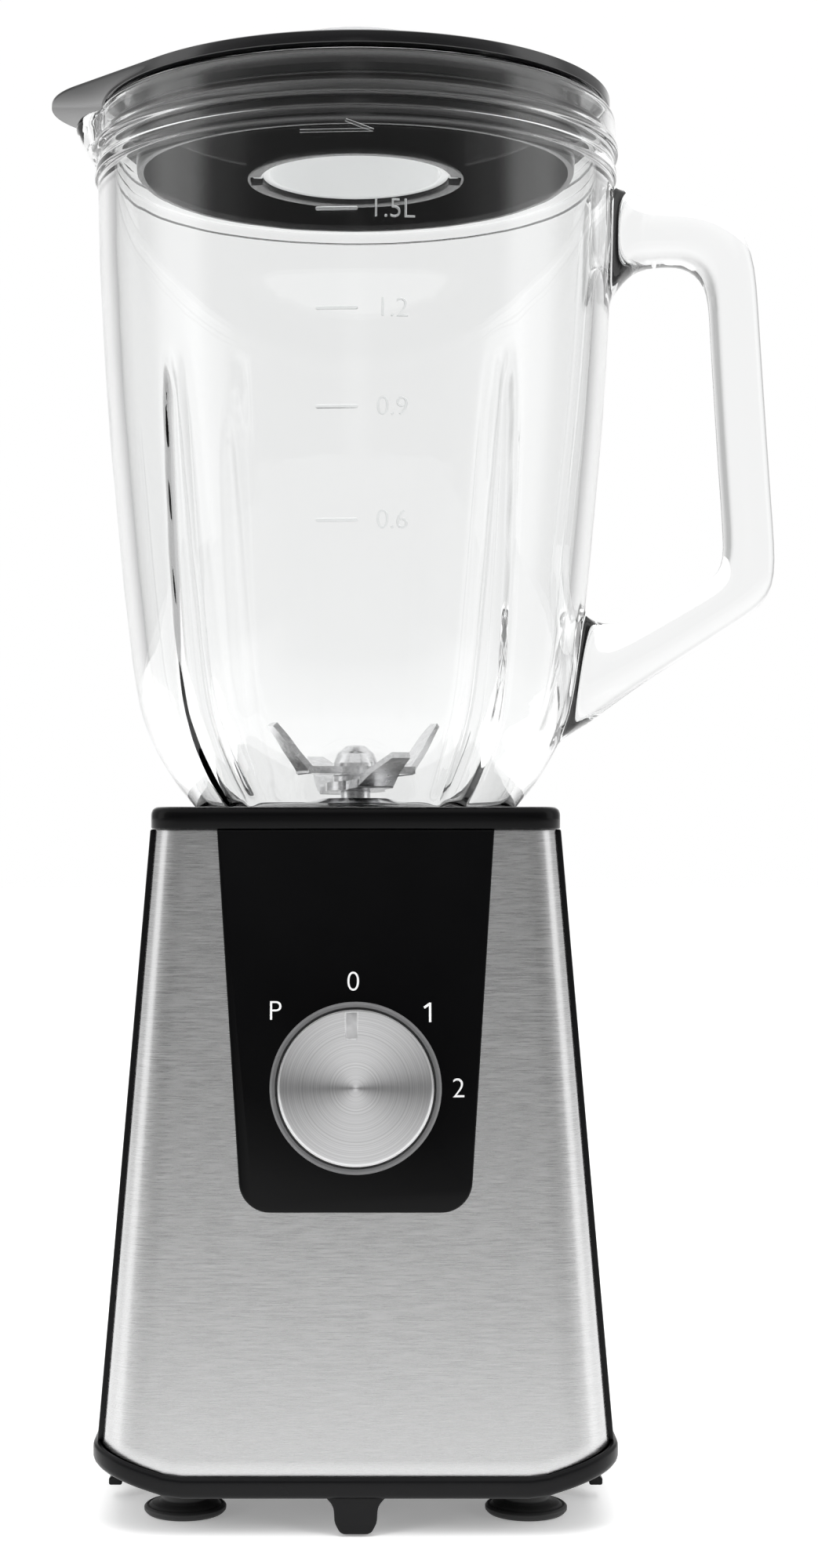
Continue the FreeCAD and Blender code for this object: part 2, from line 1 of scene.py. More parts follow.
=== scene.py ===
import bpy
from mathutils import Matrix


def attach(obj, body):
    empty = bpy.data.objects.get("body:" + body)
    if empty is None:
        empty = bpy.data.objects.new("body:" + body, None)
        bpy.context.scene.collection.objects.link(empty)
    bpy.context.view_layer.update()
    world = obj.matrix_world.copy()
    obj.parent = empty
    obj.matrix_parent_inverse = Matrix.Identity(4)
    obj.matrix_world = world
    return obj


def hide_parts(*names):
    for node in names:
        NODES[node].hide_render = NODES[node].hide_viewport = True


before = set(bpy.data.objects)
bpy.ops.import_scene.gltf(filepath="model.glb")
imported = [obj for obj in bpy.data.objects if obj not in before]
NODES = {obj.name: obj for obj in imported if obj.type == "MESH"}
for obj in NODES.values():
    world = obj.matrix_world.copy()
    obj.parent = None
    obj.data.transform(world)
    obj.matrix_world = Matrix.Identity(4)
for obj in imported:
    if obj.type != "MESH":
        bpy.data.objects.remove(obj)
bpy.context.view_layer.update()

import bpy, bmesh, math
import numpy as np
from mathutils import Matrix, Vector

# Driving dimensions. Lengths are in millimetres, and MM turns them into Blender's metres.
MM = 0.001
Z0, Z1 = 14.0, 172.0                          # foot and top of the tapered body
HALF_X, HALF_Y, CORNER = 64.5, 64.0, 13.0     # its half width, half depth and corner radius at the foot
TAPER_X, TAPER_Y, TAPER_R = 13.0, 12.5, 4.0   # what each of them loses by the top
WALL_TOP = 171.93
BAND_TOP = 14.6
FOOT_X, FOOT_Y = 42.9, 40
COLLAR_HALF, COLLAR_CORNER = 51.3, 8.5
KNOB_Z = 108.6
KNOB_STEPS, KNOB_TEETH = 720, 120
NOTCH_Z = 12.8                                # the knob's face lies above this, from the panel
TIP_X, TIP_R, LID_R = -51.2, 29.9, 67.7       # the lid's beak, its radius, and the lid's disc


# ================================================================ materials
class Mat:
    """A Principled material with helpers for grain, streaks and bump."""

    def __init__(self, name, color, rough, metal=0.0, **extra):
        self.m = bpy.data.materials.new(name)
        self.m.use_nodes = True
        self.nt = self.m.node_tree
        self.nt.nodes.clear()
        out = self.nt.nodes.new("ShaderNodeOutputMaterial")
        self.b = self.nt.nodes.new("ShaderNodeBsdfPrincipled")
        self.nt.links.new(self.b.outputs[0], out.inputs[0])
        self.color = tuple(color) + (1.0,)
        self.b.inputs["Base Color"].default_value = self.color
        self.b.inputs["Roughness"].default_value = rough
        self.b.inputs["Metallic"].default_value = metal
        for k, v in extra.items():
            self.b.inputs[k.replace("_", " ")].default_value = v
        self.height = None

    def node(self, kind, **vals):
        n = self.nt.nodes.new(kind)
        for k, v in vals.items():
            if hasattr(n, k):
                setattr(n, k, v)
            else:
                n.inputs[k.replace("_", " ")].default_value = v
        return n

    def link(self, a, b):
        self.nt.links.new(a, b)

    def coords(self, scale=(1, 1, 1)):
        t = self.node("ShaderNodeTexCoord")
        mp = self.node("ShaderNodeMapping")
        mp.inputs["Scale"].default_value = scale
        self.link(t.outputs["Object"], mp.inputs["Vector"])
        return mp.outputs[0]

    def noise(self, scale, stretch=(1, 1, 1), detail=4.0, rough=0.55):
        n = self.node("ShaderNodeTexNoise", Scale=scale, Detail=detail, Roughness=rough)
        self.link(self.coords(stretch), n.inputs["Vector"])
        return n.outputs["Fac"]

    def ramp(self, fac, lo, hi, a=0.35, b=0.65):
        r = self.node("ShaderNodeMapRange")
        r.inputs["From Min"].default_value, r.inputs["From Max"].default_value = a, b
        r.inputs["To Min"].default_value, r.inputs["To Max"].default_value = lo, hi
        self.link(fac, r.inputs["Value"])
        return r.outputs[0]

    def tint(self, fac, amount, a=0.3, b=0.7):
        """Base colour varies by +-amount with fac."""
        return self.shade(self.ramp(fac, 1 - amount, 1 + amount, a, b))

    def shade(self, v):
        """Base colour times v."""
        mix = self.node("ShaderNodeVectorMath", operation="SCALE")
        mix.inputs[0].default_value = self.color[:3]
        self.link(v, mix.inputs["Scale"])
        self.link(mix.outputs[0], self.b.inputs["Base Color"])
        return self

    def roughen(self, fac, lo, hi, a=0.3, b=0.7):
        self.link(self.ramp(fac, lo, hi, a, b), self.b.inputs["Roughness"])
        return self

    def bump(self, fac, dist, strength=1.0):
        n = self.node("ShaderNodeBump", Distance=dist, Strength=strength)
        self.link(fac, n.inputs["Height"])
        if self.height is not None:
            self.link(self.height, n.inputs["Normal"])
        self.height = n.outputs[0]
        self.link(self.height, self.b.inputs["Normal"])
        return self

    def tangent_level(self):
        """Horizontal direction along any upright surface."""
        g = self.node("ShaderNodeNewGeometry")
        c = self.node("ShaderNodeVectorMath", operation="CROSS_PRODUCT")
        c.inputs[0].default_value = (0, 0, 1)
        self.link(g.outputs["Normal"], c.inputs[1])
        self.link(c.outputs[0], self.b.inputs["Tangent"])
        return self

    def tangent_z(self):
        """Direction round the object's own Z."""
        t = self.node("ShaderNodeTangent", direction_type="RADIAL", axis="Z")
        self.link(t.outputs[0], self.b.inputs["Tangent"])
        return self


def plastic(name, color, rough, grain=900.0, depth=0.00003, spread=0.06, level=0.5):
    """Moulded plastic or rubber with a fine grain and slowly varying gloss."""
    m = Mat(name, color, rough, Specular_IOR_Level=level)
    fine = m.noise(grain, detail=3.0)
    slow = m.noise(22.0, detail=3.0)
    m.roughen(slow, rough - spread, rough + spread)
    m.tint(m.noise(60.0), 0.12)
    m.bump(fine, depth, 0.5)
    return m.m


def steel(name, color, rough, aniso, streak=(160.0, 160.0, 6500.0), tint=0.13, depth=0.000001,
          level=False):
    """Metal with streaks of noise; level lays its brushing flat along upright surfaces."""
    m = Mat(name, color, rough, 1.0, Anisotropic=aniso, Anisotropic_Rotation=0.25)
    n = m.noise(1.0, streak, 2.0, 0.6)
    fine = m.noise(1.0, (streak[0] * 0.35, streak[1] * 0.35, streak[2] * 2.2), 3.0)
    m.tint(n, tint, 0.25, 0.75)
    m.roughen(n, rough - 0.05, rough + 0.06)
    m.bump(fine, depth, 0.35)
    if level:
        m.tangent_level()
    return m.m


def spun(name, color):
    """Metal face with turned rings about the object's own Z."""
    m = Mat(name, color, 0.32, 1.0, Anisotropic=1.0, Anisotropic_Rotation=0.25)
    flat = m.node("ShaderNodeVectorMath", operation="MULTIPLY")
    m.link(m.coords(), flat.inputs[0])
    flat.inputs[1].default_value = (1, 1, 0)
    radius = m.node("ShaderNodeVectorMath", operation="LENGTH")
    m.link(flat.outputs[0], radius.inputs[0])
    turned = m.node("ShaderNodeTexNoise", noise_dimensions="1D", Scale=2600.0, Detail=3.0, Roughness=0.7)
    m.link(radius.outputs["Value"], turned.inputs["W"])
    m.roughen(turned.outputs["Fac"], 0.28, 0.38)
    m.tint(turned.outputs["Fac"], 0.13)
    m.bump(turned.outputs["Fac"], 0.0000015, 0.5)
    m.tangent_z()
    return m.m


def polished(name, color):
    """Bright turned metal without streaks."""
    m = Mat(name, color, 0.16, 1.0)
    m.roughen(m.noise(300.0), 0.12, 0.22)
    m.bump(m.noise(900.0), 0.00001, 0.3)
    return m.m


def glass(name, ior=1.5, wave=0.00006, color=(0.962, 0.966, 0.965)):
    """Pressed glass with a slow wave and a finer one across it."""
    m = Mat(name, color, 0.0, 0.0, Transmission_Weight=1.0, IOR=ior)
    m.bump(m.noise(38.0, detail=2.0), wave, 0.5)
    m.bump(m.noise(210.0, (1, 1, 0.35), 2.0), wave * 0.12, 0.5)
    return m.m


def frosted(name, color, rough, clear, glow=0.0):
    """Milky plastic; clear is the share of light let through, glow a painted glow, an emission that makes it
    look lit from within.
    """
    m = Mat(name, color, rough, 0.0, Transmission_Weight=clear, IOR=1.45, Emission_Color=(1, 1, 1, 1),
            Emission_Strength=glow)
    m.roughen(m.noise(30.0), rough - 0.05, rough + 0.08)
    m.tint(m.noise(70.0), 0.02)
    m.bump(m.noise(260.0, detail=2.0), 0.00001, 0.5)
    return m.m


STEEL = steel("brushed_steel_skin", (0.58, 0.58, 0.582), 0.28, 0.62, level=True)
BLADE = steel("blade_steel", (0.82, 0.82, 0.83), 0.22, 0.4, (500.0, 500.0, 900.0))
ZINC = steel("plated_steel", (0.58, 0.58, 0.57), 0.28, 0.0, (700.0, 700.0, 700.0))
GLOSS = plastic("gloss_black_plastic", (0.0022, 0.0022, 0.0024), 0.12, 500.0, 0.000004, 0.03, 0.11)
LIDBLK = plastic("lid_black_plastic", (0.004, 0.004, 0.0044), 0.16, 700.0, 0.000002, 0.04, 0.25)
LIDRIM = plastic("lid_gloss_rim", (0.006, 0.006, 0.0065), 0.10, 700.0, 0.000004, 0.03, 0.7)
SATIN = plastic("satin_black_plastic", (0.0034, 0.0034, 0.0038), 0.31, 1500.0, 0.00002, 0.06, 0.17)
RUBBER = plastic("foot_rubber", (0.022, 0.022, 0.022), 0.55, 1200.0, 0.00004, 0.08)
SEAL = plastic("seal_rubber", (0.008, 0.008, 0.008), 0.35, 1200.0, 0.000006, 0.06)
GRIP = plastic("knob_grip", (0.12, 0.12, 0.122), 0.3, 1400.0, 0.00002, 0.06)
WHITE = plastic("white_plastic", (0.72, 0.72, 0.69), 0.4, 900.0, 0.00002, 0.05)
COUPL = plastic("coupling_plastic", (0.05, 0.05, 0.05), 0.45, 900.0, 0.00003, 0.06)
BOARD = plastic("board_green", (0.03, 0.16, 0.07), 0.4, 500.0, 0.00003, 0.06)
# Colour of the carbon brushes, also used as painted shade in the open vent slots.
CARBON_AND_SLOT_SHADE = plastic("carbon", (0.02, 0.02, 0.02), 0.6, 1800.0, 0.00004, 0.08)
LAMIN = steel("lamination", (0.24, 0.24, 0.25), 0.5, 0.0, (40.0, 40.0, 4000.0), 0.25)
COPPER = steel("copper", (0.72, 0.36, 0.2), 0.3, 0.0, (60.0, 60.0, 3000.0), 0.15)
BRACKET = plastic("bracket_paint", (0.33, 0.33, 0.34), 0.42, 800.0, 0.00003, 0.06)
INK = plastic("dial_ink", (0.85, 0.85, 0.85), 0.45, 900.0, 0.00001, 0.04)
GLASS = glass("jar_glass")
GASKET = plastic("pale_gasket", (0.6, 0.6, 0.59), 0.45, 1200.0, 0.00002, 0.06)
ETCHED = frosted("raised_glass_marks", (0.97, 0.98, 0.98), 0.2, 1.0)
# The filler cap's plastic glows with painted light, so that it looks bright through the lid's hole.
CLEAR_PAINTED_GLOW = frosted("clear_plastic", (0.94, 0.95, 0.95), 0.18, 0.28, 0.17)
# The same cap plastic, darker and without glow: painted shade on the cap's top under the bright top light.
CAP_TOP_PAINTED_SHADE = frosted("cap_top_painted_shade", (0.58, 0.585, 0.59), 0.14, 0.35)
SPUN = spun("spun_metal", (0.74, 0.74, 0.745))
MARK = steel("knob_mark", (0.78, 0.78, 0.785), 0.42, 0.0, (300.0, 300.0, 300.0))
TRIM = polished("knob_trim", (0.75, 0.75, 0.75))

NODE_MATS = {
    "base_screws": ZINC, "cord_gland": RUBBER, "motor_stator": LAMIN, "field_coils": COPPER,
    "upper_bracket": BRACKET, "lower_bracket": BRACKET, "bearings": ZINC, "motor_screws": ZINC,
    "brush_holders": COPPER, "carbon_brushes": CARBON_AND_SLOT_SHADE, "motor_mounts": RUBBER, "rotary_switch": WHITE,
    "switch_nut": ZINC, "circuit_board": BOARD, "interlock_switch": COUPL, "motor_shaft": ZINC,
    "armature": LAMIN, "commutator": COPPER, "cooling_fan": WHITE, "drive_coupling": COUPL,
    "switch_spindle": WHITE, "jar_base": SATIN, "blade_bush": BLADE, "bush_gasket": GASKET, "bush_nut": ZINC,
    "blade_shaft": BLADE, "blades_upper": BLADE, "blades_lower": BLADE, "blade_spacer": BLADE,
    "blade_nut": BLADE, "driven_coupling": COUPL, "housing": SATIN,
    "glass_jar": GLASS, "lid": LIDBLK, "filler_cap": CLEAR_PAINTED_GLOW, "lid_seal": SEAL, "front_cover": STEEL,
    "control_panel": GLOSS, "top_collar": GLOSS, "base_plate": SATIN, "feet": RUBBER, "knob_body": GRIP,
    "knob_cap": STEEL,
}
for node_name, obj in NODES.items():
    obj.data.materials.clear()
    obj.data.materials.append(NODE_MATS[node_name])


# ================================================================ mesh helpers
def place(name, data):
    """New object in the scene, for a mesh, text, light or camera."""
    ob = bpy.data.objects.new(name, data)
    bpy.context.scene.collection.objects.link(ob)
    return ob


def second_material(ob, mat, where):
    """Gives mat to the faces of ob that where(face) picks."""
    ob.data.materials.append(mat)
    for poly in ob.data.polygons:
        poly.material_index = int(where(poly))


def make(name, verts, faces, mat, body, nodes=(), parent_matrix=None, subsurf=0, solidify=None,
         bevel=None, fix_normals=True):
    """Mesh object from points in millimetres, which rides body and stands in for the CAD nodes."""
    me = bpy.data.meshes.new(name)
    me.from_pydata([tuple(float(c) * MM for c in v) for v in verts], [],
                   [tuple(int(i) for i in f) for f in faces])
    me.validate()
    if fix_normals:
        bm = bmesh.new()
        bm.from_mesh(me)
        bmesh.ops.remove_doubles(bm, verts=bm.verts, dist=1e-6)
        bmesh.ops.recalc_face_normals(bm, faces=bm.faces)
        bm.to_mesh(me)
        bm.free()
    me.materials.append(mat)
    me.shade_smooth()
    ob = place(name, me)
    if parent_matrix is not None:
        ob.matrix_world = parent_matrix
    if solidify:
        s = ob.modifiers.new("thickness", "SOLIDIFY")
        s.thickness, s.offset, s.use_even_offset = solidify * MM, -1.0, True
    if bevel:
        b = ob.modifiers.new("edges", "BEVEL")
        b.width, b.segments, b.limit_method, b.angle_limit = bevel * MM, 3, "ANGLE", math.radians(35)
    if subsurf:
        s = ob.modifiers.new("subdivision", "SUBSURF")
        s.levels = s.render_levels = subsurf
    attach(ob, body)
    if nodes:
        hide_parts(*nodes)
    return ob


def quads(n_loops, n, closed_loop=True, closed_rows=False):
    """Faces between loops of n points that follow one another."""
    f = []
    rows = n_loops if closed_rows else n_loops - 1
    cols = n if closed_loop else n - 1
    for i in range(rows):
        a, b = i * n, ((i + 1) % n_loops) * n
        for j in range(cols):
            k = (j + 1) % n
            f.append((a + j, a + k, b + k, b + j))
    return f


def prism(lo, hi):
    """Points and faces of a solid between two outlines with the same number of points."""
    n = len(lo)
    return list(lo) + list(hi), [tuple(range(n)), tuple(range(n, 2 * n))] + quads(2, n)


def round_corners(pts, radii, seg=5, closed=True):
    """2-D polyline with its corners rounded."""
    out, n = [], len(pts)
    P = [np.array(p, float) for p in pts]
    for i in range(n):
        r = radii[i] if hasattr(radii, "__len__") else radii
        if (not closed and i in (0, n - 1)) or r <= 0:
            out.append(P[i])
            continue
        a, p, b = P[i - 1], P[i], P[(i + 1) % n]
        u, w = a - p, b - p
        lu, lw = np.linalg.norm(u), np.linalg.norm(w)
        u, w = u / lu, w / lw
        ang = math.acos(max(-1, min(1, float(u @ w))))
        if ang > math.pi - 0.02:
            out.append(p)
            continue
        d = min(r / math.tan(ang / 2), lu * 0.49, lw * 0.49)
        rr = d * math.tan(ang / 2)
        c = p + (u + w) / np.linalg.norm(u + w) * rr / math.sin(ang / 2)
        s, e = p + u * d - c, p + w * d - c
        sweep = math.pi - ang
        for k in range(seg + 1):
            t = k / seg
            v = (s * math.sin((1 - t) * sweep) + e * math.sin(t * sweep)) / math.sin(sweep)
            out.append(c + v)
    return np.array(out)


def lathe(profile, n=128, closed=True, wobble=None):
    """Points and faces of a (r, z) profile turned about Z; wobble(theta, r, z) gives a new r."""
    th = np.arange(n) * 2 * math.pi / n
    verts = []
    for r, z in profile:
        for t in th:
            rr = wobble(t, r, z) if wobble else r
            verts.append((rr * math.cos(t), rr * math.sin(t), z))
    return verts, quads(len(profile), n, True, closed)


def spline(pts, xs):
    """Smooth cubic through (x, y) points, sampled at xs."""
    p = np.array(sorted(pts), float)
    x, y = p[:, 0], p[:, 1]
    h = np.diff(x)
    s = np.diff(y) / h
    m = np.concatenate([[s[0]], (s[:-1] * h[1:] + s[1:] * h[:-1]) / (h[1:] + h[:-1]), [s[-1]]])
    i = np.clip(np.searchsorted(x, xs) - 1, 0, len(h) - 1)
    t = (np.array(xs) - x[i]) / h[i]
    return ((2 * t**3 - 3 * t**2 + 1) * y[i] + (t**3 - 2 * t**2 + t) * h[i] * m[i]
            + (-2 * t**3 + 3 * t**2) * y[i + 1] + (t**3 - t**2) * h[i] * m[i + 1])


def smooth01(t):
    """Eases from 0 to 1."""
    t = np.clip(t, 0, 1)
    return t * t * (3 - 2 * t)


# ================================================================ base: tapered body
def body_dims(z, inset):
    """Half width, half depth and corner radius of the body at height z, drawn in by inset."""
    t = (z - Z0) / (Z1 - Z0)
    corner = max(CORNER - TAPER_R * t - inset, 0.8)
    return HALF_X - TAPER_X * t - inset, HALF_Y - TAPER_Y * t - inset, corner


def rr_loop(hx, hy, r, z, nc=10, ns=14):
    """Rounded rectangle, counter-clockwise from the rear-left corner, in nc steps a corner and ns a side."""
    pts = []
    for cx, cy, a0 in ((-hx + r, hy - r, 90), (-hx + r, -hy + r, 180), (hx - r, -hy + r, 270),
                       (hx - r, hy - r, 0)):
        for k in range(nc + 1):
            a = math.radians(a0 + 90 * k / nc)
            pts.append((cx + r * math.cos(a), cy + r * math.sin(a)))
    out = []
    m = len(pts)
    for i, p in enumerate(pts):
        out.append(p)
        if i % (nc + 1) == nc:
            q = pts[(i + 1) % m]
            for k in range(1, ns):
                t = k / ns
                out.append((p[0] + (q[0] - p[0]) * t, p[1] + (q[1] - p[1]) * t))
    return np.array([(x, y, z) for x, y in out])


def rise(x):
    """How far the base band's edge turns up at a given X."""
    start, slope, ease = 45.0, 0.333, 0.12
    d = np.abs(x) - start
    return slope * 0.5 * (d + np.sqrt(d * d + ease))


def band_loop(inset, z):
    """Loop of the base band, turned up towards the sides."""
    hx, hy, r = body_dims(Z0, inset + 0.6)
    lp = rr_loop(hx, hy, r, z, 10, 22)
    lp[:, 2] += rise(lp[:, 0])
    return lp


def build_band():
    prof = [(3.0, 9.1), (0.9, 9.1), (-0.1, 9.35), (-0.75, 10.0), (-1.0, 10.9), (-1.0, 13.3), (-0.85, 14.0),
            (-0.3, 14.45), (0.5, 14.45), (1.0, 14.2), (1.15, 13.5), (1.2, 12.4), (3.0, 12.4), (5.0, 12.4),
            (20.0, 12.4), (40.0, 12.4), (60.0, 12.4)]
    loops = [band_loop(inset, z) for inset, z in prof]
    underside = [band_loop(inset, 9.1) for inset in (5.0, 20.0, 40.0, 60.0)]
    n = len(loops[0])
    faces = quads(len(loops), n)
    base = len(loops) * n
    verts = np.concatenate(loops + underside)
    chain = [0] + [base + k * n for k in range(len(underside))]
    for a, b in zip(chain[:-1], chain[1:]):
        for j in range(n):
            k = (j + 1) % n
            faces.append((a + k, a + j, b + j, b + k))
    faces.append(tuple(range(base - n, base)))
    faces.append(tuple(reversed(range(chain[-1], chain[-1] + n))))
    make("base_band", verts, faces, SATIN, "base", ["base_plate"])


def build_base_details():
    """Front tongue, the two side hooks, and dark slabs under the base painted as the shade of its open vent
    slots.
    """
    out = round_corners([(-8.2, 10.4), (-5.4, 7.2), (-5.15, 3.2), (-3.7, 0.4), (3.7, 0.4), (5.15, 3.2),
                         (5.4, 7.2), (8.2, 10.4)], [0, 4.0, 4.0, 2.0, 2.0, 4.0, 4.0, 0], 8, False)
    tongue("front_tongue", out, -62.9, -60.6)
    for side, s in (("left", -1), ("right", 1)):
        hook = round_corners([(60.0, 15.0), (60.0, 3.4), (63.4, 3.4), (63.4, 5.0), (62.2, 6.2), (62.2, 15.0)],
                             [0, 0.5, 0.5, 0.5, 0.8, 0], 4, False)
        hook[:, 0] *= s
        tongue("cord_hook_" + side, hook, -28, -22)
    pitch, half_width, half_length = 5, 1.2, 18
    # Each vent slot is a dark slab, painted shade standing in for the opening.
    for i in range(-4, 5):
        x0, x1 = i * pitch - half_width, i * pitch + half_width
        o = round_corners([(x0, -half_length), (x1, -half_length), (x1, half_length), (x0, half_length)],
                          1.1, 4)
        v, f = prism([(x, y, 9.05) for x, y in o], [(x, y, 9.3) for x, y in o])
        make("vent_slot_painted_shade_%d" % (i + 4), v, f, CARBON_AND_SLOT_SHADE, "base")


def tongue(name, outline, y0, y1):
    """Outline in X and Z, carried from y0 to y1."""
    v, f = prism([(x, y0, z) for x, z in outline], [(x, y1, z) for x, z in outline])
    make(name, v, f, SATIN, "base", bevel=0.45)


def build_feet():
    prof = round_corners([(0, 2.4), (0, 1.9), (4.5, 1.6), (7.0, 0.35), (7.6, 0.0), (9.6, 0.0), (10.3, 0.75),
                          (10.35, 1.6), (9.7, 2.15), (9.1, 2.0), (8.4, 2.5), (6.6, 3.0), (5.6, 3.5),
                          (5.5, 6.0), (5.5, 8.6), (5.5, 12.5), (0, 12.5)],
                         [0, 0, .8, .5, .3, .5, .5, .4, .3, .2, .4, .5, .5, .3, .2, 0, 0], 4)
    v, f = lathe(prof, 72)
    for i, (sx, sy) in enumerate(((1, -1), (-1, -1), (1, 1), (-1, 1))):
        foot = [(x + sx * FOOT_X, y + sy * FOOT_Y, z) for x, y, z in v]
        make("foot_%d" % i, foot, f, RUBBER, "base", ["feet"] if i == 0 else ())


WALL_NC, WALL_NS = 12, 60            # points round each corner and along each side


def wrap_sheet(name, inset, mat, first, last, rows, nodes, thick, bevel):
    """Part of the tapered body's wall, from one point of its loop to another."""
    bottom_loop = rr_loop(*body_dims(Z0, inset), Z0, WALL_NC, WALL_NS)
    picked = [i % len(bottom_loop) for i in range(first, last + 1)]
    bot = bottom_loop[picked]
    top = rr_loop(*body_dims(WALL_TOP, inset), WALL_TOP, WALL_NC, WALL_NS)[picked]
    tuck = 0.25
    verts = []
    for k in range(rows + 1):
        for low, high in zip(bot, top):
            zb = BAND_TOP + float(rise(low[0])) - tuck
            z = zb + (WALL_TOP - zb) * (k / rows)
            p = low + (high - low) * ((z - Z0) / (WALL_TOP - Z0))
            verts.append((p[0], p[1], z))
    make(name, verts, quads(rows + 1, len(picked), False), mat, "base", nodes, solidify=thick,
         bevel=bevel, fix_normals=False)


def build_walls():
    # The loop runs from the rear-left corner along the left side, the front, the right side and the rear.
    per = WALL_NC + WALL_NS
    left, right = per + 1, 3 * per - WALL_NS - 1
    wrap_sheet("front_skin", 1.3, STEEL, left, right, 40, ["front_cover"], 0.8, 0.22)
    # The black housing is the rest of the loop, and stands proud of the steel.
    wrap_sheet("side_housing", 0.0, SATIN, right, left + 4 * per, 24, ["housing"], 2.1, 0.5)
    wrap_sheet("front_frame", 2.4, SATIN, left - 2, right + 2, 4, (), 1.8, 0.3)


def build_vents():
    """Raised slot rims on the rear wall, each with a dark face in it, painted as the shade of the open slot.
    """
    lowest, pitch, half_height, half_width, lean = 44, 7, 1.3, 22, 0.079
    o = round_corners([(-half_width, -half_height), (half_width, -half_height), (half_width, half_height),
                       (-half_width, half_height)], 1.2, 5)
    m = len(o)
    for i in range(8):
        z = lowest + i * pitch + half_height
        hy = body_dims(z, 0)[1]
        verts = []
        for h, s in ((0.0, 1.04), (0.25, 1.02), (0.3, 1.0), (-0.02, 0.93)):
            grow = s if s < 1 else 1 + (s - 1) * 8
            for x, dz in o:
                verts.append((x + math.copysign((s - 1) * 6, x), hy - lean * dz + h, z + dz * grow))
        faces = quads(4, m) + [tuple(range(3 * m, 4 * m))]
        make("rear_vent_%d" % i, verts, faces, SATIN, "base")
        # Dark face in each slot: painted shade of the opening.
        inner = [(x * 0.985, hy - lean * dz + 0.02, z + dz * 0.9) for x, dz in o]
        make("rear_vent_dark_%d" % i, inner, [tuple(range(m))], CARBON_AND_SLOT_SHADE, "base")


def build_collar():
    nc, ns = 10, 12
    # The outer rows follow the collar's outline, drawn in; the others are circles of the jar's well.
    square = [(4.0, 171.95), (0.9, 171.95), (0.15, 172.05), (0.0, 172.3), (0.0, 175.5), (0.1, 176.1),
              (0.35, 176.7), (0.8, 177.15), (1.4, 177.42), (2.4, 177.5)]
    well = [(46.4, 177.5), (45.6, 177.38), (45.0, 176.9), (44.6, 176.0), (43.9, 174.8), (43.8, 173.0),
            (43.8, 157.0), (43.4, 156.2), (42.6, 156.0), (20.0, 156.0), (17.6, 156.0), (17.0, 155.5),
            (17.0, 153.9), (17.4, 153.5), (45.6, 153.5), (46.2, 154.1), (46.2, 171.0), (46.8, 171.9)]
    loops = []
    for inset, z in square:
        half = COLLAR_HALF - inset
        loops.append(rr_loop(half, half, max(COLLAR_CORNER - inset, 1.0), z, nc, ns))
    for radius, z in well:
        ref = rr_loop(COLLAR_HALF, COLLAR_HALF, COLLAR_CORNER, z, nc, ns)
        turn = np.arctan2(ref[:, 1], ref[:, 0])
        loops.append(np.stack([radius * np.cos(turn), radius * np.sin(turn), np.full(len(turn), z)], 1))
    faces = quads(len(loops), len(loops[0]), True, True)
    make("top_collar_shell", np.concatenate(loops), faces, GLOSS, "base", ["top_collar"])


# ================================================================ control panel and its marks
LEAN = TAPER_Y / (Z1 - Z0)
TILT = math.atan(LEAN)


def front_matrix(z, lift):
    """Local X across, local Y up the front face, local Z out of it, at height z on the centre line."""
    y = -(HALF_Y - LEAN * (z - Z0))
    m = Matrix(((1, 0, 0, 0),
                (0, math.sin(TILT), -math.cos(TILT), 0),
                (0, math.cos(TILT), math.sin(TILT), 0),
                (0, 0, 0, 1)))
    m.translation = Vector((0, y * MM, z * MM)) + Vector((0, -math.cos(TILT), math.sin(TILT))) * (lift * MM)
    return m


def build_panel():
    top, low = (171.9 - KNOB_Z) / math.cos(TILT), (78.0 - KNOB_Z) / math.cos(TILT)
    out = round_corners([(-28.2, low), (28.2, low), (34.4, top), (-34.4, top)], [7.7, 7.7, 0.2, 0.2], 12)
    n = len(out)

    def shrink(d):
        """The outline drawn in by about d on each side."""
        half_width, half_height = 31, 47
        centre = np.array([0, (top + low) / 2])
        factor = np.array([(half_width - d) / half_width, (half_height - d) / half_height])
        return centre + (out - centre) * factor

    verts = []
    for d, h in ((0.0, -2.2), (0.0, 0.0), (0.05, 0.25), (0.2, 0.42), (0.45, 0.5)):
        verts += [(x, y, h) for x, y in shrink(d)]
    faces = quads(5, n) + [tuple(range(4 * n, 5 * n)), tuple(range(n))]
    make("panel_plate", verts, faces, GLOSS, "base", ["control_panel"],
         parent_matrix=front_matrix(KNOB_Z, -1.1))


def label(text, size, thick):
    """Mesh of a text, size mm tall and twice thick mm deep."""
    cu = bpy.data.curves.new("t", "FONT")
    cu.body, cu.size, cu.align_x, cu.align_y = text, size * MM, "CENTER", "CENTER"
    cu.extrude, cu.offset = thick * MM, -0.012 * size * MM
    ob = place("t", cu)
    bpy.context.view_layer.update()
    me = bpy.data.meshes.new_from_object(ob.evaluated_get(bpy.context.evaluated_depsgraph_get()))
    bpy.data.objects.remove(ob)
    me.materials.clear()
    return me


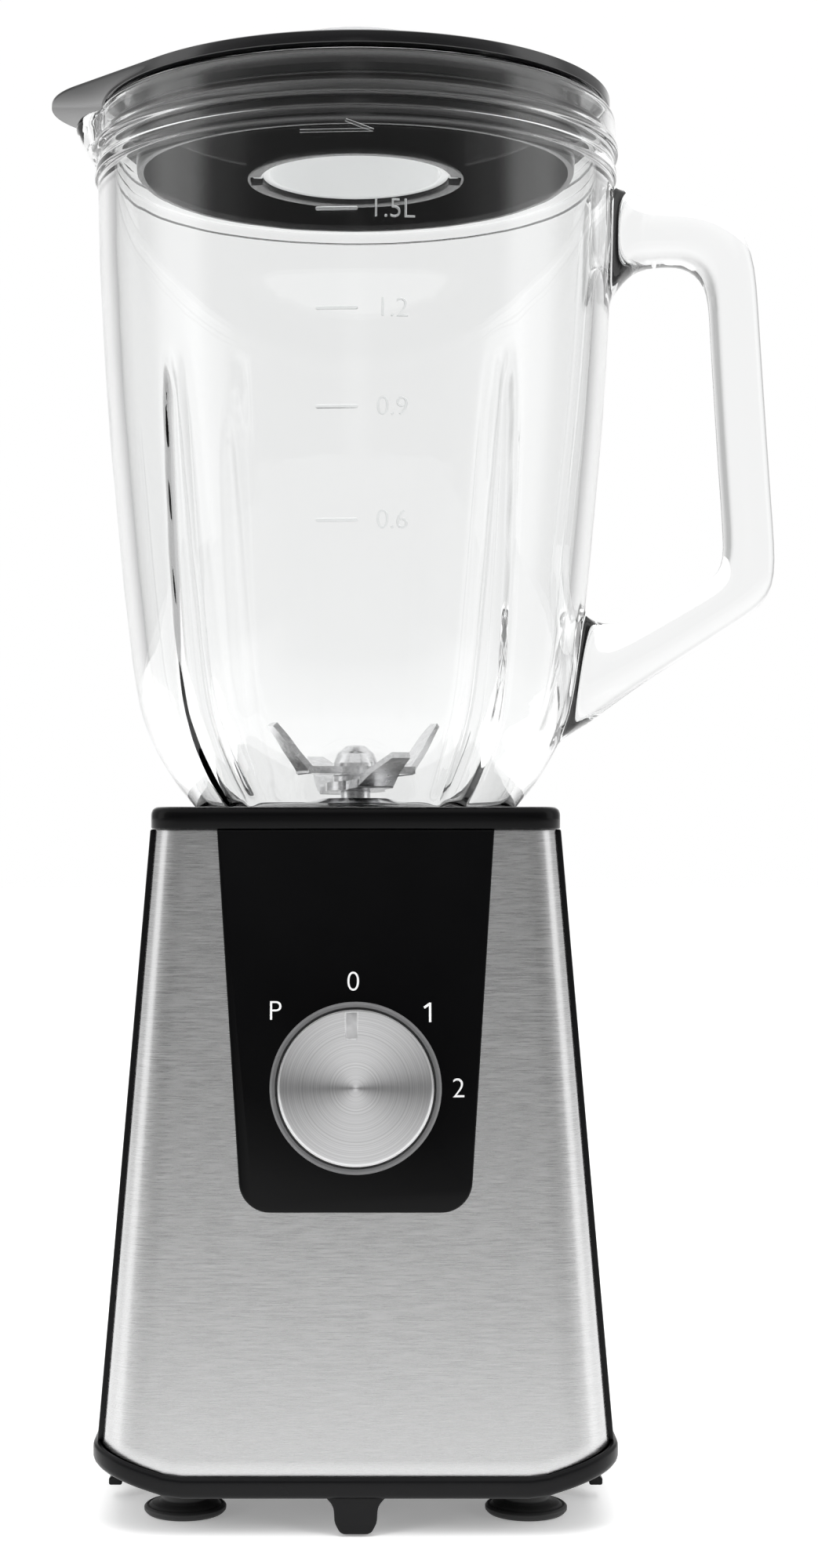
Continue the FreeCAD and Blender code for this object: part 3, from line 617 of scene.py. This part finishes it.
def extrude(outlines, z0, z1):
    """Mesh, in metres, of convex 2-D outlines between two heights."""
    bm = bmesh.new()
    for outline in outlines:
        lo = [bm.verts.new((x * MM, y * MM, z0 * MM)) for x, y in outline]
        hi = [bm.verts.new((x * MM, y * MM, z1 * MM)) for x, y in outline]
        for i in range(len(outline)):
            k = (i + 1) % len(outline)
            bm.faces.new((lo[i], lo[k], hi[k], hi[i]))
        bm.faces.new(hi)
        bm.faces.new(list(reversed(lo)))
    bmesh.ops.recalc_face_normals(bm, faces=bm.faces)
    me = bpy.data.meshes.new("outline")
    bm.to_mesh(me)
    bm.free()
    return me


# The figure 1 of the dial: an upright and its flag.
ONE = ([(0.15, -2.4), (0.72, -2.4), (0.72, 2.4), (0.15, 2.4)],
       [(0.2, 2.4), (-1.2, 1.4), (-0.9, 0.9), (0.2, 1.65)])


def build_labels():
    for name, text, x, y in (("dial_off", "0", -0.6, 25.7), ("dial_pulse", "P", -19.9, 18.5),
                             ("dial_one", "1", 17.9, 18.3), ("dial_two", "2", 25.3, -0.5)):
        me = extrude(ONE, -0.03, 0.03) if text == "1" else label(text, 6.9, 0.03)
        me.materials.append(INK)
        ob = place(name, me)
        ob.matrix_world = front_matrix(KNOB_Z, -0.56) @ Matrix.Translation((x * MM, y * MM, 0))
        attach(ob, "base")


# ================================================================ knob
KNOB = front_matrix(KNOB_Z, -0.6)


def notch(x, y):
    """Signed distance, in mm, to the outline of the pointer cut into the knob's face."""
    aside, half_width, start, rounding = 1.0, 0.85, 12.3, 0.6
    dx, dy = abs(x + aside) - half_width, start - y
    return math.hypot(max(dx, 0), max(dy, 0)) + min(max(dx, dy), 0) - rounding


def knurl(t, r, z):
    """Radius of the knob's grip, with teeth cut into its side."""
    inner_radius, foot, top, depth = 20.0, 1.5, 10.2, 0.36
    if r > inner_radius and foot < z < top:
        return r - depth * (0.5 + 0.5 * math.cos(KNOB_TEETH * t)) ** 1.5
    return r


def build_knob_ring():
    prof = round_corners([(3.2, 8.0), (3.2, 1.0), (5.5, 1.0), (5.5, 7.0), (18.1, 7.0), (18.1, 0.7),
                          (19.9, 0.7), (20.8, 1.6), (20.8, 11.0), (20.3, 11.7), (19.45, 11.7), (19.4, 10.0),
                          (18.0, 10.0)],
                         [0, .2, .2, .3, .3, .2, .5, .15, .15, .3, .2, .1, 0.1], 3)
    v, f = lathe(prof, KNOB_STEPS, True, knurl)
    make("knob_ring", v, f, GRIP, "knob", ["knob_body"], parent_matrix=KNOB)


def build_knob_face():
    n = KNOB_STEPS
    radii = np.concatenate([np.linspace(0.0, 10.6, 18)[1:], np.linspace(10.9, 18.0, 30)])
    rows = [(r, 13.55 - 0.25 * math.cos(math.pi * min(r / 16.5, 1)) * 0.6) for r in radii]
    rows += [(18.3, 13.68), (18.52, 13.5), (18.7, 13.2), (18.75, 12.9), (18.75, 10.6), (18.4, 10.3),
             (17.0, 10.3)]
    th = np.arange(n) * 2 * math.pi / n
    verts = [(0, 0, rows[0][1])]
    for r, z in rows:
        for t in th:
            x, y = r * math.cos(t), r * math.sin(t)
            cut = 0.45 * float(smooth01(np.array(0.5 - notch(x, y) / 0.2))) if z > NOTCH_Z else 0
            verts.append((x, y, z - cut))
    faces = [(0, 1 + i, 1 + (i + 1) % n) for i in range(n)]
    for k in range(len(rows) - 1):
        a, b = 1 + k * n, 1 + (k + 1) * n
        faces += [(a + i, b + i, b + (i + 1) % n, a + (i + 1) % n) for i in range(n)]
    face = make("knob_face", verts, faces, SPUN, "knob", ["knob_cap"], parent_matrix=KNOB)
    second_material(face, MARK, lambda poly: poly.center.z > NOTCH_Z * MM
                    and notch(poly.center.x / MM, poly.center.y / MM) < 0)


def build_knob_trim():
    prof = round_corners([(18.2, 10.2), (18.95, 10.2), (18.95, 11.9), (18.85, 12.2), (18.2, 12.2)], 0.12, 3)
    v, f = lathe(prof, 256)
    make("knob_trim_ring", v, f, TRIM, "knob", parent_matrix=KNOB)


# ================================================================ glass jar
# Height and outer radius of the glass wall
OUTER = [(175.6, 41.9), (179.6, 44.5), (183.8, 47.9), (187.9, 50.4), (192.1, 52.9), (196.3, 54.8),
         (200.4, 56.5), (208.7, 58.4), (217.0, 59.6), (225.4, 60.6), (242.0, 62.4), (258.6, 63.9),
         (275.0, 65.4), (292.0, 66.6), (308.5, 67.5), (321.0, 68.1), (345.0, 68.6)]
RIBS = (225.3, 304.7, 45.0, 126.0)   # where the mixing ribs are, in degrees round from the handle
RIB_TOP, RIB_FOOT = 291.0, 182.0
SPREAD = 2.3                         # degrees from one column of the mesh to the next, away from any detail
LOW_ROW, TOP_ROW, OPENING = 5, 41, 10   # first rows of the handle's two openings, and their size in faces


def jar_angles():
    """Column angles: closer together at the ribs and at the handle."""
    middle = 3600
    grid = np.linspace(-180, 180, 2 * middle + 1)
    rate = np.full_like(grid, 1 / SPREAD)
    for r in RIBS:
        d = (grid - r + 180) % 360 - 180
        rate += (1 / 0.8 - 1 / SPREAD) * np.exp(-(d / 7.5) ** 4)
    rate += (1 / 1.65 - 1 / SPREAD) * np.exp(-(grid / 11) ** 4)
    total = np.concatenate([[0], np.cumsum((rate[1:] + rate[:-1]) / 2 * np.diff(grid))])
    half = total[middle]
    n = int(round(total[-1] / 2)) * 2
    right = np.interp(np.linspace(0, total[-1] - half, n // 2 + 1), total[middle:] - half, grid[middle:])
    left = np.interp(np.linspace(0, half, n // 2 + 1), total[:middle + 1], grid[:middle + 1])
    return np.radians(np.concatenate([left[:-1], right[:-1]]))


def rib_depth(th, z, inside):
    """How far, in mm, a mixing rib pushes the wall in, on its outer or its inner face."""
    out = 0.0
    for r in RIBS:
        d = (math.degrees(th) - r + 180) % 360 - 180
        if abs(d) > 16 or z > RIB_TOP + 6:
            continue
        keep = 1.0 if r > 180 else 0.3                   # the rear ribs are shallower
        start = RIB_TOP + 5 if inside else RIB_TOP
        f = (start - z) / (RIB_TOP - RIB_FOOT)
        if f <= 0:
            continue
        width = 5.0 + 6.0 * f ** 0.8 if inside else 1.0 + 5.0 * f ** 0.7
        u = math.radians(d) * (56.0 if inside else 58.0) / width
        if abs(u) >= 1:
            continue
        if inside:
            deep = 0.8 * float(smooth01(np.array(f / 0.2))) + 0.5 * f
            out = max(out, keep * deep * 0.5 * (1 + math.cos(math.pi * u)))
        else:
            deep = 2.1 * float(smooth01(np.array(f / 0.10))) + 0.6 * f
            out = max(out, keep * deep * (1 - u * u) ** 0.9)
    return out


def jar_radius(z):
    """Outer radius of the glass wall at height z."""
    return float(spline(OUTER, [z])[0])


def jar_rows():
    """Rows (kind, radius, height) of the wall: up the outside, over the rim, down inside, under the floor."""
    zs = np.concatenate([np.linspace(180.0, 196.0, 6)[:-1], np.linspace(196.0, 228.0, 11)[:-1],
                         np.linspace(228.0, 313.0, 27)[:-1], np.linspace(313.0, 341.5, 11)[:-1],
                         [341.5, 342.5]])
    rows = [("outer", jar_radius(z), z) for z in zs]
    rim = [(68.65, 342.9), (68.75, 343.15), (69.35, 343.5), (69.45, 343.9), (69.45, 345.6), (69.35, 346.1),
           (68.95, 346.5), (68.85, 346.9), (68.85, 349.1), (68.95, 349.5), (69.75, 349.9), (69.9, 350.3),
           (69.9, 351.4), (69.75, 351.9), (69.3, 352.4), (69.25, 352.9), (69.25, 357.5), (69.1, 358.7),
           (68.7, 359.8), (67.9, 360.7), (66.9, 361.0), (65.9, 360.7), (65.2, 359.8), (64.95, 357.0),
           (64.6, 351.0)]
    rows += [("rim", r, z) for r, z in rim]
    for z in np.concatenate([np.linspace(346.0, 190.0, 46), [186.4, 183.4]]):
        wall = 4.5 + 1.1 * float(smooth01(np.array((215 - z) / 30)))
        rows.append(("inner", jar_radius(min(z, 345.0)) - wall, z))
    rows.append(("inner", 40.3, 181.0))
    floor = [(39.0, 179.2), (37.2, 177.9), (34.0, 177.4), (26.0, 177.5), (19.5, 178.9), (12.0, 179.1),
             (8.9, 179.1), (8.35, 178.7), (8.3, 177.0), (8.35, 175.3), (8.9, 174.85), (14.0, 174.8),
             (31.5, 174.6), (33.1, 174.0), (33.4, 172.5), (33.4, 165.4), (33.8, 164.4), (35.7, 164.0),
             (37.6, 164.4), (38.0, 165.4), (38.0, 172.6), (38.3, 174.2), (39.4, 174.95), (41.2, 175.6),
             (42.6, 177.4)]
    return rows + [("floor", r, z) for r, z in floor]


def spout(t, z):
    """How far the pouring lip opposite the handle stands out, from 0 to 1."""
    foot, height, half_angle = 349.0, 7.5, 9.5
    back = abs(math.degrees(t)) - 180
    return float(smooth01(np.array((z - foot) / height))) * math.exp(-(back / half_angle) ** 4)


def jar_wall(rows, angles):
    """Points of the wall, and its faces without the two openings for the handle."""
    verts = []
    for kind, r, z in rows:
        for t in angles:
            rr = r
            if kind != "floor":
                rr += spout(t, z) * (5.2 if kind == "inner" else 5.4)
            if kind in ("outer", "inner"):
                rr -= rib_depth(t, z, kind == "inner")
            verts.append((rr * math.cos(t), rr * math.sin(t), z))
    n, mid = len(angles), len(angles) // 2
    skip = {(i, j) for first in (LOW_ROW, TOP_ROW) for i in range(first, first + OPENING)
            for j in range(mid - OPENING // 2, mid + OPENING // 2)}
    faces = []
    for i in range(len(rows)):
        a, b = i * n, ((i + 1) % len(rows)) * n
        for j in range(n):
            if (i, j) not in skip:
                k = (j + 1) % n
                faces.append((a + j, a + k, b + k, b + j))
    return verts, faces


# Handle, from the upper opening to the lower one: inner point, outer point, width across Y, squareness
HANDLE = [((71.6, 318.2), (71.6, 343.0), 18.6, 2.6), ((74.6, 320.9), (74.6, 340.6), 17.0, 2.8),
          ((78.5, 322.3), (78.5, 339.1), 15.6, 3.0), ((84.0, 322.6), (84.0, 338.8), 15.0, 3.0),
          ((87.6, 322.3), (91.0, 338.6), 15.0, 3.0), ((91.0, 320.6), (98.6, 336.2), 15.0, 3.0),
          ((93.5, 317.4), (104.2, 330.6), 15.0, 3.0), ((94.6, 312.6), (106.7, 321.5), 15.0, 3.0),
          ((94.9, 306.0), (107.4, 311.5), 15.0, 3.0), ((95.6, 294.0), (108.4, 296.0), 15.0, 3.0),
          ((96.7, 276.0), (109.7, 276.0), 15.0, 3.0), ((97.8, 260.0), (110.9, 259.0), 15.0, 3.0),
          ((98.5, 250.0), (111.8, 247.0), 15.0, 3.0), ((98.5, 244.5), (111.9, 239.5), 15.0, 3.0),
          ((97.2, 240.6), (110.2, 233.6), 15.0, 3.0), ((94.2, 237.7), (106.0, 229.7), 15.0, 3.0),
          ((90.2, 235.5), (99.5, 225.4), 15.0, 3.0), ((84.0, 232.4), (90.5, 219.6), 15.0, 3.0),
          ((77.0, 229.0), (80.0, 212.9), 15.6, 3.0), ((71.0, 226.6), (70.0, 206.0), 16.6, 2.8),
          ((66.6, 226.6), (62.0, 199.6), 18.2, 2.6)]


def bridge(a, b):
    """Faces between two closed loops of point numbers."""
    n = len(a)
    return [(a[i], a[(i + 1) % n], b[(i + 1) % n], b[i]) for i in range(n)]


def build_jar():
    angles = jar_angles()
    n, mid = len(angles), len(angles) // 2
    verts, faces = jar_wall(jar_rows(), angles)
    half = OPENING // 2
    # The edge of an opening, and of each section of the handle, as a square that runs from -1 to 1 both ways
    up = [k / half for k in range(-half, half)]
    down = [k / half for k in range(half, -half, -1)]
    square = ([(a, 1.0) for a in up] + [(1.0, b) for b in down] + [(a, -1.0) for a in down]
              + [(-1.0, b) for b in up])
    previous, low_loop = ([(row + half + sign * int(round(b * half))) * n + mid + int(round(a * half))
                           for a, b in square] for row, sign in ((TOP_ROW, 1), (LOW_ROW, -1)))
    for (ix, iz), (ox, oz), width, power in HANDLE:
        loop = list(range(len(verts), len(verts) + len(square)))
        cx, cz, hx, hz = (ix + ox) / 2, (iz + oz) / 2, (ox - ix) / 2, (oz - iz) / 2
        for a, b in square:
            q = (abs(a) ** power + abs(b) ** power) ** (1 / power)
            verts.append((cx + hx * (b / q), (a / q) * width / 2, cz + hz * (b / q)))
        faces += bridge(previous, loop)
        previous = loop
    faces += bridge(previous, low_loop)
    make("jar_body", verts, faces, GLASS, "jar", ["glass_jar"], subsurf=1)


def on_jar(me, x0, z0, lift):
    """Wraps a flat mesh (X across, Y up, in metres) round the front of the jar."""
    for v in me.vertices:
        x, y, h = v.co.x / MM + x0, v.co.y / MM + z0, v.co.z / MM
        r = jar_radius(y) + lift + h
        a = x / jar_radius(y)
        v.co = (r * math.sin(a) * MM, -r * math.cos(a) * MM, y * MM)


def dash():
    """Raised dash beside each litre number, with a softened top."""
    o = round_corners([(-5.1, -0.45), (5.1, -0.45), (5.1, 0.45), (-5.1, 0.45)], 0.42, 5)
    n = len(o)
    bm = bmesh.new()
    rings = [[bm.verts.new((x * sx * MM, y * sy * MM, h * MM)) for x, y in o]
             for sx, sy, h in ((1, 1, -0.05), (1, 1, 0.2), (0.99, 0.7, 0.33))]
    for lo, hi in zip(rings[:-1], rings[1:]):
        for i in range(n):
            bm.faces.new((lo[i], lo[(i + 1) % n], hi[(i + 1) % n], hi[i]))
    bm.faces.new(rings[-1])
    bm.faces.new(list(reversed(rings[0])))
    me = bpy.data.meshes.new("dash")
    bm.to_mesh(me)
    bm.free()
    return me


def build_marks():
    marks = []
    for z, text in ((321.7, "1.5L"), (298.0, "1.2"), (274.4, "0.9"), (247.2, "0.6")):
        for x, me in ((8.9, label(text, 6.6, 0.25)), (-4.6, dash())):
            on_jar(me, x, z, 0.02)
            marks.append(me)
    arrow = extrude(([(-13.5, -0.35), (4.2, -0.35), (4.2, 0.35), (-13.5, 0.35)],
                     [(-2.6, 2.1), (3.9, -0.4), (4.4, 0.2), (-2.3, 2.7)]), -0.05, 0.35)
    on_jar(arrow, 0, 340.5, 0.02)
    marks.append(arrow)
    for i, me in enumerate(marks):
        me.materials.clear()
        me.materials.append(ETCHED)
        ob = place("jar_mark_%d" % i, me)
        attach(ob, "jar")


# ================================================================ lid and filler cap
def lid_radius(t):
    """Plan outline of the lid: a disc with a rounded beak towards -X, joined by straight flanks."""
    t = (t + math.pi) % (2 * math.pi) - math.pi
    phi = math.pi - abs(t)
    d = -TIP_X
    a = math.acos((LID_R - TIP_R) / d)
    if phi > a:
        return LID_R
    inside = TIP_R * TIP_R - (d * math.sin(phi)) ** 2
    if inside >= 0:
        hit = d * math.cos(phi) + math.sqrt(inside)
        if math.atan2(hit * math.sin(phi), hit * math.cos(phi) - d) < a:
            return hit
    return LID_R / math.cos(phi - a)


def lid_outline(t, r, z):
    """Radius of the lid, with slots in its hole for the cap's lugs and a beak on its upper edge."""
    hole_radius, slot_half_width, slot_radius = 25.4, 3.6, 28.1
    if r < 26.0 and abs(math.sin(t)) * hole_radius < slot_half_width:
        return slot_radius
    edge_radius, edge_foot = 66.0, 363.6
    return r + lid_radius(t) - LID_R if r > edge_radius and z > edge_foot else r


def build_lid():
    prof = round_corners([(60.4, 361.5), (66.6, 361.5), (67.6, 362.1), (67.7, 363.5), (67.7, 363.75),
                          (67.7, 364.8), (66.9, 365.2), (62.0, 365.3), (60.6, 364.6), (58.0, 364.2),
                          (34.0, 365.0), (31.5, 365.2), (25.4, 365.2), (25.4, 345.0), (28.9, 344.8),
                          (29.1, 346.2), (30.0, 361.6), (55.6, 361.4), (56.2, 346.2), (56.6, 344.8),
                          (58.2, 344.8), (58.6, 351.9), (57.2, 352.2), (57.2, 356.8), (58.8, 357.1),
                          (59.2, 361.0)],
                         [.3, .4, .4, 0, 0, .2, .3, .5, .6, .6, .5, .4, .5, .5, .4, .3, 1.0, 1.0, .5, .3, .3,
                          .2, .1, .1, .2, .6], 4)
    v, f = lathe(prof, 360, True, lid_outline)
    shell = make("lid_shell", v, f, LIDBLK, "lid", ["lid"])
    rim_radius = 66.6
    second_material(shell, LIDRIM, lambda poly: poly.center.xy.length > rim_radius * MM)


def build_seal():
    prof = round_corners([(57.3, 352.3), (60.6, 352.3), (61.2, 352.9), (63.4, 353.1), (63.8, 353.7),
                          (61.4, 354.1), (61.4, 355.0), (63.4, 355.2), (63.8, 355.8), (61.2, 356.2),
                          (60.4, 356.7), (57.3, 356.7)], 0.3, 3)
    v, f = lathe(prof, 200)
    make("lid_seal_ring", v, f, SEAL, "lid", ["lid_seal"])


def build_cap():
    prof = round_corners([(0.0, 377.4), (17.5, 377.4), (20.4, 375.2), (22.4, 367.0), (22.7, 346.4),
                          (23.0, 346.2), (24.9, 346.2), (25.1, 346.6), (25.1, 365.6), (29.6, 365.6),
                          (30.3, 366.2), (30.3, 367.6), (29.6, 368.3), (27.0, 368.9), (24.6, 377.6),
                          (23.0, 379.5), (20.8, 380.0), (0.0, 380.0)],
                         [0, 2.5, 2, 1.5, .2, .3, .3, .2, .3, .3, .4, .4, .4, 1.2, 1.2, 1.0, 1.0, 0], 5)
    v, f = lathe(prof, 144)
    cap = make("cap_body", v, f, CLEAR_PAINTED_GLOW, "cap", ["filler_cap"])
    lid_top = 365.7
    # Faces on top of the cap take the darker copy, painted shade; the rest of the cap glows with painted
    # light.
    second_material(cap, CAP_TOP_PAINTED_SHADE, lambda poly: poly.center.z > lid_top * MM and poly.normal.z > -0.5)
    o = round_corners([(25.0, -3.1), (27.6, -2.7), (27.6, 2.7), (25.0, 3.1)], 0.5, 3)
    for side, s in (("a", -1), ("b", 1)):
        v, f = prism([(s * x, y, 346.3) for x, y in o], [(s * x, y, 348.4) for x, y in o])
        make("cap_lug_" + side, v, f, CLEAR_PAINTED_GLOW, "cap", bevel=0.25)


# ================================================================ blades and couplings
def build_nut():
    prof = round_corners([(0, 194.6), (2.6, 194.4), (4.9, 192.8), (6.0, 190.2), (6.3, 188.4), (6.3, 187.4),
                          (0, 187.4)], [0, 2, 2, 1.5, 0.5, 0.2, 0], 5)
    v, f = lathe(prof, 64)
    make("blade_dome_nut", v, f, BLADE, "blades", ["blade_nut"])


def soften():
    """Rounds the edges of the visible pieces that keep their CAD shape."""
    for name in ("blades_upper", "blades_lower", "blade_bush", "jar_base", "cord_gland", "drive_coupling",
                "driven_coupling"):
        b = NODES[name].modifiers.new("edges", "BEVEL")
        b.width, b.segments, b.limit_method, b.angle_limit = 0.2 * MM, 2, "ANGLE", math.radians(30)


# ================================================================ stage, light, camera
def build_floor():
    """Pale floor, darker and glowing less in front, so that less of it is reflected in the steel."""
    me = bpy.data.meshes.new("floor")
    me.from_pydata([(-6, -6, 0), (6, -6, 0), (6, 6, 0), (-6, 6, 0)], [], [(0, 1, 2, 3)])
    m = Mat("pale_floor", (0.93, 0.93, 0.93), 0.6, Emission_Color=(1, 1, 1, 1))
    pos = m.node("ShaderNodeSeparateXYZ")
    m.link(m.coords(), pos.inputs[0])
    near, far = -1.0, -0.15
    m.shade(m.ramp(pos.outputs["Y"], 0.4, 1.0, near, far))
    m.link(m.ramp(pos.outputs["Y"], 0.1, 0.26, near, far), m.b.inputs["Emission Strength"])
    m.bump(m.noise(40.0), 0.0001, 0.2)
    me.materials.append(m.m)
    ob = place("floor", me)
    ob.location.z = -0.0002


def world_ramp(nt, source, stops):
    """Brightness by direction: stops are (direction from -1 to 1, brightness)."""
    reach = nt.nodes.new("ShaderNodeMapRange")
    reach.inputs["From Min"].default_value, reach.inputs["From Max"].default_value = -1, 1
    nt.links.new(source, reach.inputs["Value"])
    ramp = nt.nodes.new("ShaderNodeValToRGB")
    ramp.color_ramp.interpolation = "EASE"
    elements = ramp.color_ramp.elements
    elements[0].position, elements[1].position = 0.0, 1.0
    for element, (_, value) in ((elements[0], stops[0]), (elements[1], stops[-1])):
        element.color = (value, value, value, 1)
    for at, value in stops[1:-1]:
        elements.new((at + 1) / 2).color = (value, value, value, 1)
    nt.links.new(reach.outputs[0], ramp.inputs[0])
    return ramp.outputs[0]


def build_world():
    """Graded studio: dark strips in front, bright panels at both sides, white behind and above."""
    world = bpy.data.worlds.new("studio")
    bpy.context.scene.world = world
    world.use_nodes = True
    nt = world.node_tree
    nt.nodes.clear()
    out = nt.nodes.new("ShaderNodeOutputWorld")
    bg = nt.nodes.new("ShaderNodeBackground")
    direction = nt.nodes.new("ShaderNodeTexCoord")
    sep = nt.nodes.new("ShaderNodeSeparateXYZ")
    nt.links.new(direction.outputs["Generated"], sep.inputs[0])
    front_to_back = [(-1.0, 0.42), (-0.988, 0.14), (-0.8, 0.16), (-0.42, 0.36), (-0.2, 1.35), (0.02, 1.35),
                     (0.3, 0.6), (0.72, 0.5), (0.9, 1.0), (1.0, 1.0)]
    upwards = [(-1.0, 0.0), (0.18, 0.0), (0.4, 0.12), (0.66, 0.7), (0.88, 1.0), (1.0, 1.0)]
    around = world_ramp(nt, sep.outputs["Y"], front_to_back)
    lofty = world_ramp(nt, sep.outputs["Z"], upwards)
    mix = nt.nodes.new("ShaderNodeMix")
    mix.data_type = "RGBA"
    nt.links.new(lofty, mix.inputs["Factor"])
    nt.links.new(around, mix.inputs["A"])
    mix.inputs["B"].default_value = (1.05, 1.05, 1.05, 1)
    nt.links.new(mix.outputs["Result"], bg.inputs["Color"])
    bg.inputs["Strength"].default_value = 1.0
    nt.links.new(bg.outputs[0], out.inputs[0])


def softbox(name, place_at, aim, size, power):
    """Area light that isn't mirrored in the object or seen through its glass; metres and watts."""
    lamp = bpy.data.lights.new(name, "AREA")
    lamp.shape, lamp.size, lamp.size_y, lamp.energy = "RECTANGLE", size[0], size[1], power
    ob = place(name, lamp)
    ob.location = place_at
    ob.rotation_euler = (Vector(aim) - Vector(place_at)).to_track_quat("-Z", "Y").to_euler()
    ob.visible_glossy = ob.visible_transmission = False


def build_lights():
    softbox("softbox_left", (-1.1, -1.0, 0.75), (0, 0, 0.2), (0.5, 1.1), 9)
    softbox("softbox_right", (1.1, -0.9, 0.7), (0, 0, 0.2), (0.5, 1.1), 7)
    softbox("softbox_top", (0.0, -0.5, 1.5), (0, 0, 0.15), (1.2, 0.9), 12)


def build_camera():
    """Level camera in front, a little under half the object's height."""
    cam = bpy.data.cameras.new("camera")
    cam.lens, cam.sensor_width, cam.sensor_fit = 58.75, 36.0, "AUTO"
    cam.shift_x, cam.shift_y = 0.034, 0.024
    cam.clip_start, cam.clip_end = 0.01, 100
    ob = place("camera", cam)
    ob.location = (0.0, -0.685, 0.1738)
    ob.rotation_euler = (math.radians(90), 0, 0)
    bpy.context.scene.camera = ob
    bpy.context.scene.view_settings.view_transform = "Standard"


for build in (build_floor, build_world, build_lights, build_camera, build_band, build_base_details,
              build_feet, build_walls, build_vents, build_collar, build_panel, build_labels, build_knob_ring,
              build_knob_face, build_knob_trim, build_jar, build_marks, build_lid, build_seal, build_cap,
              build_nut, soften):
    build()

bpy.context.view_layer.update()
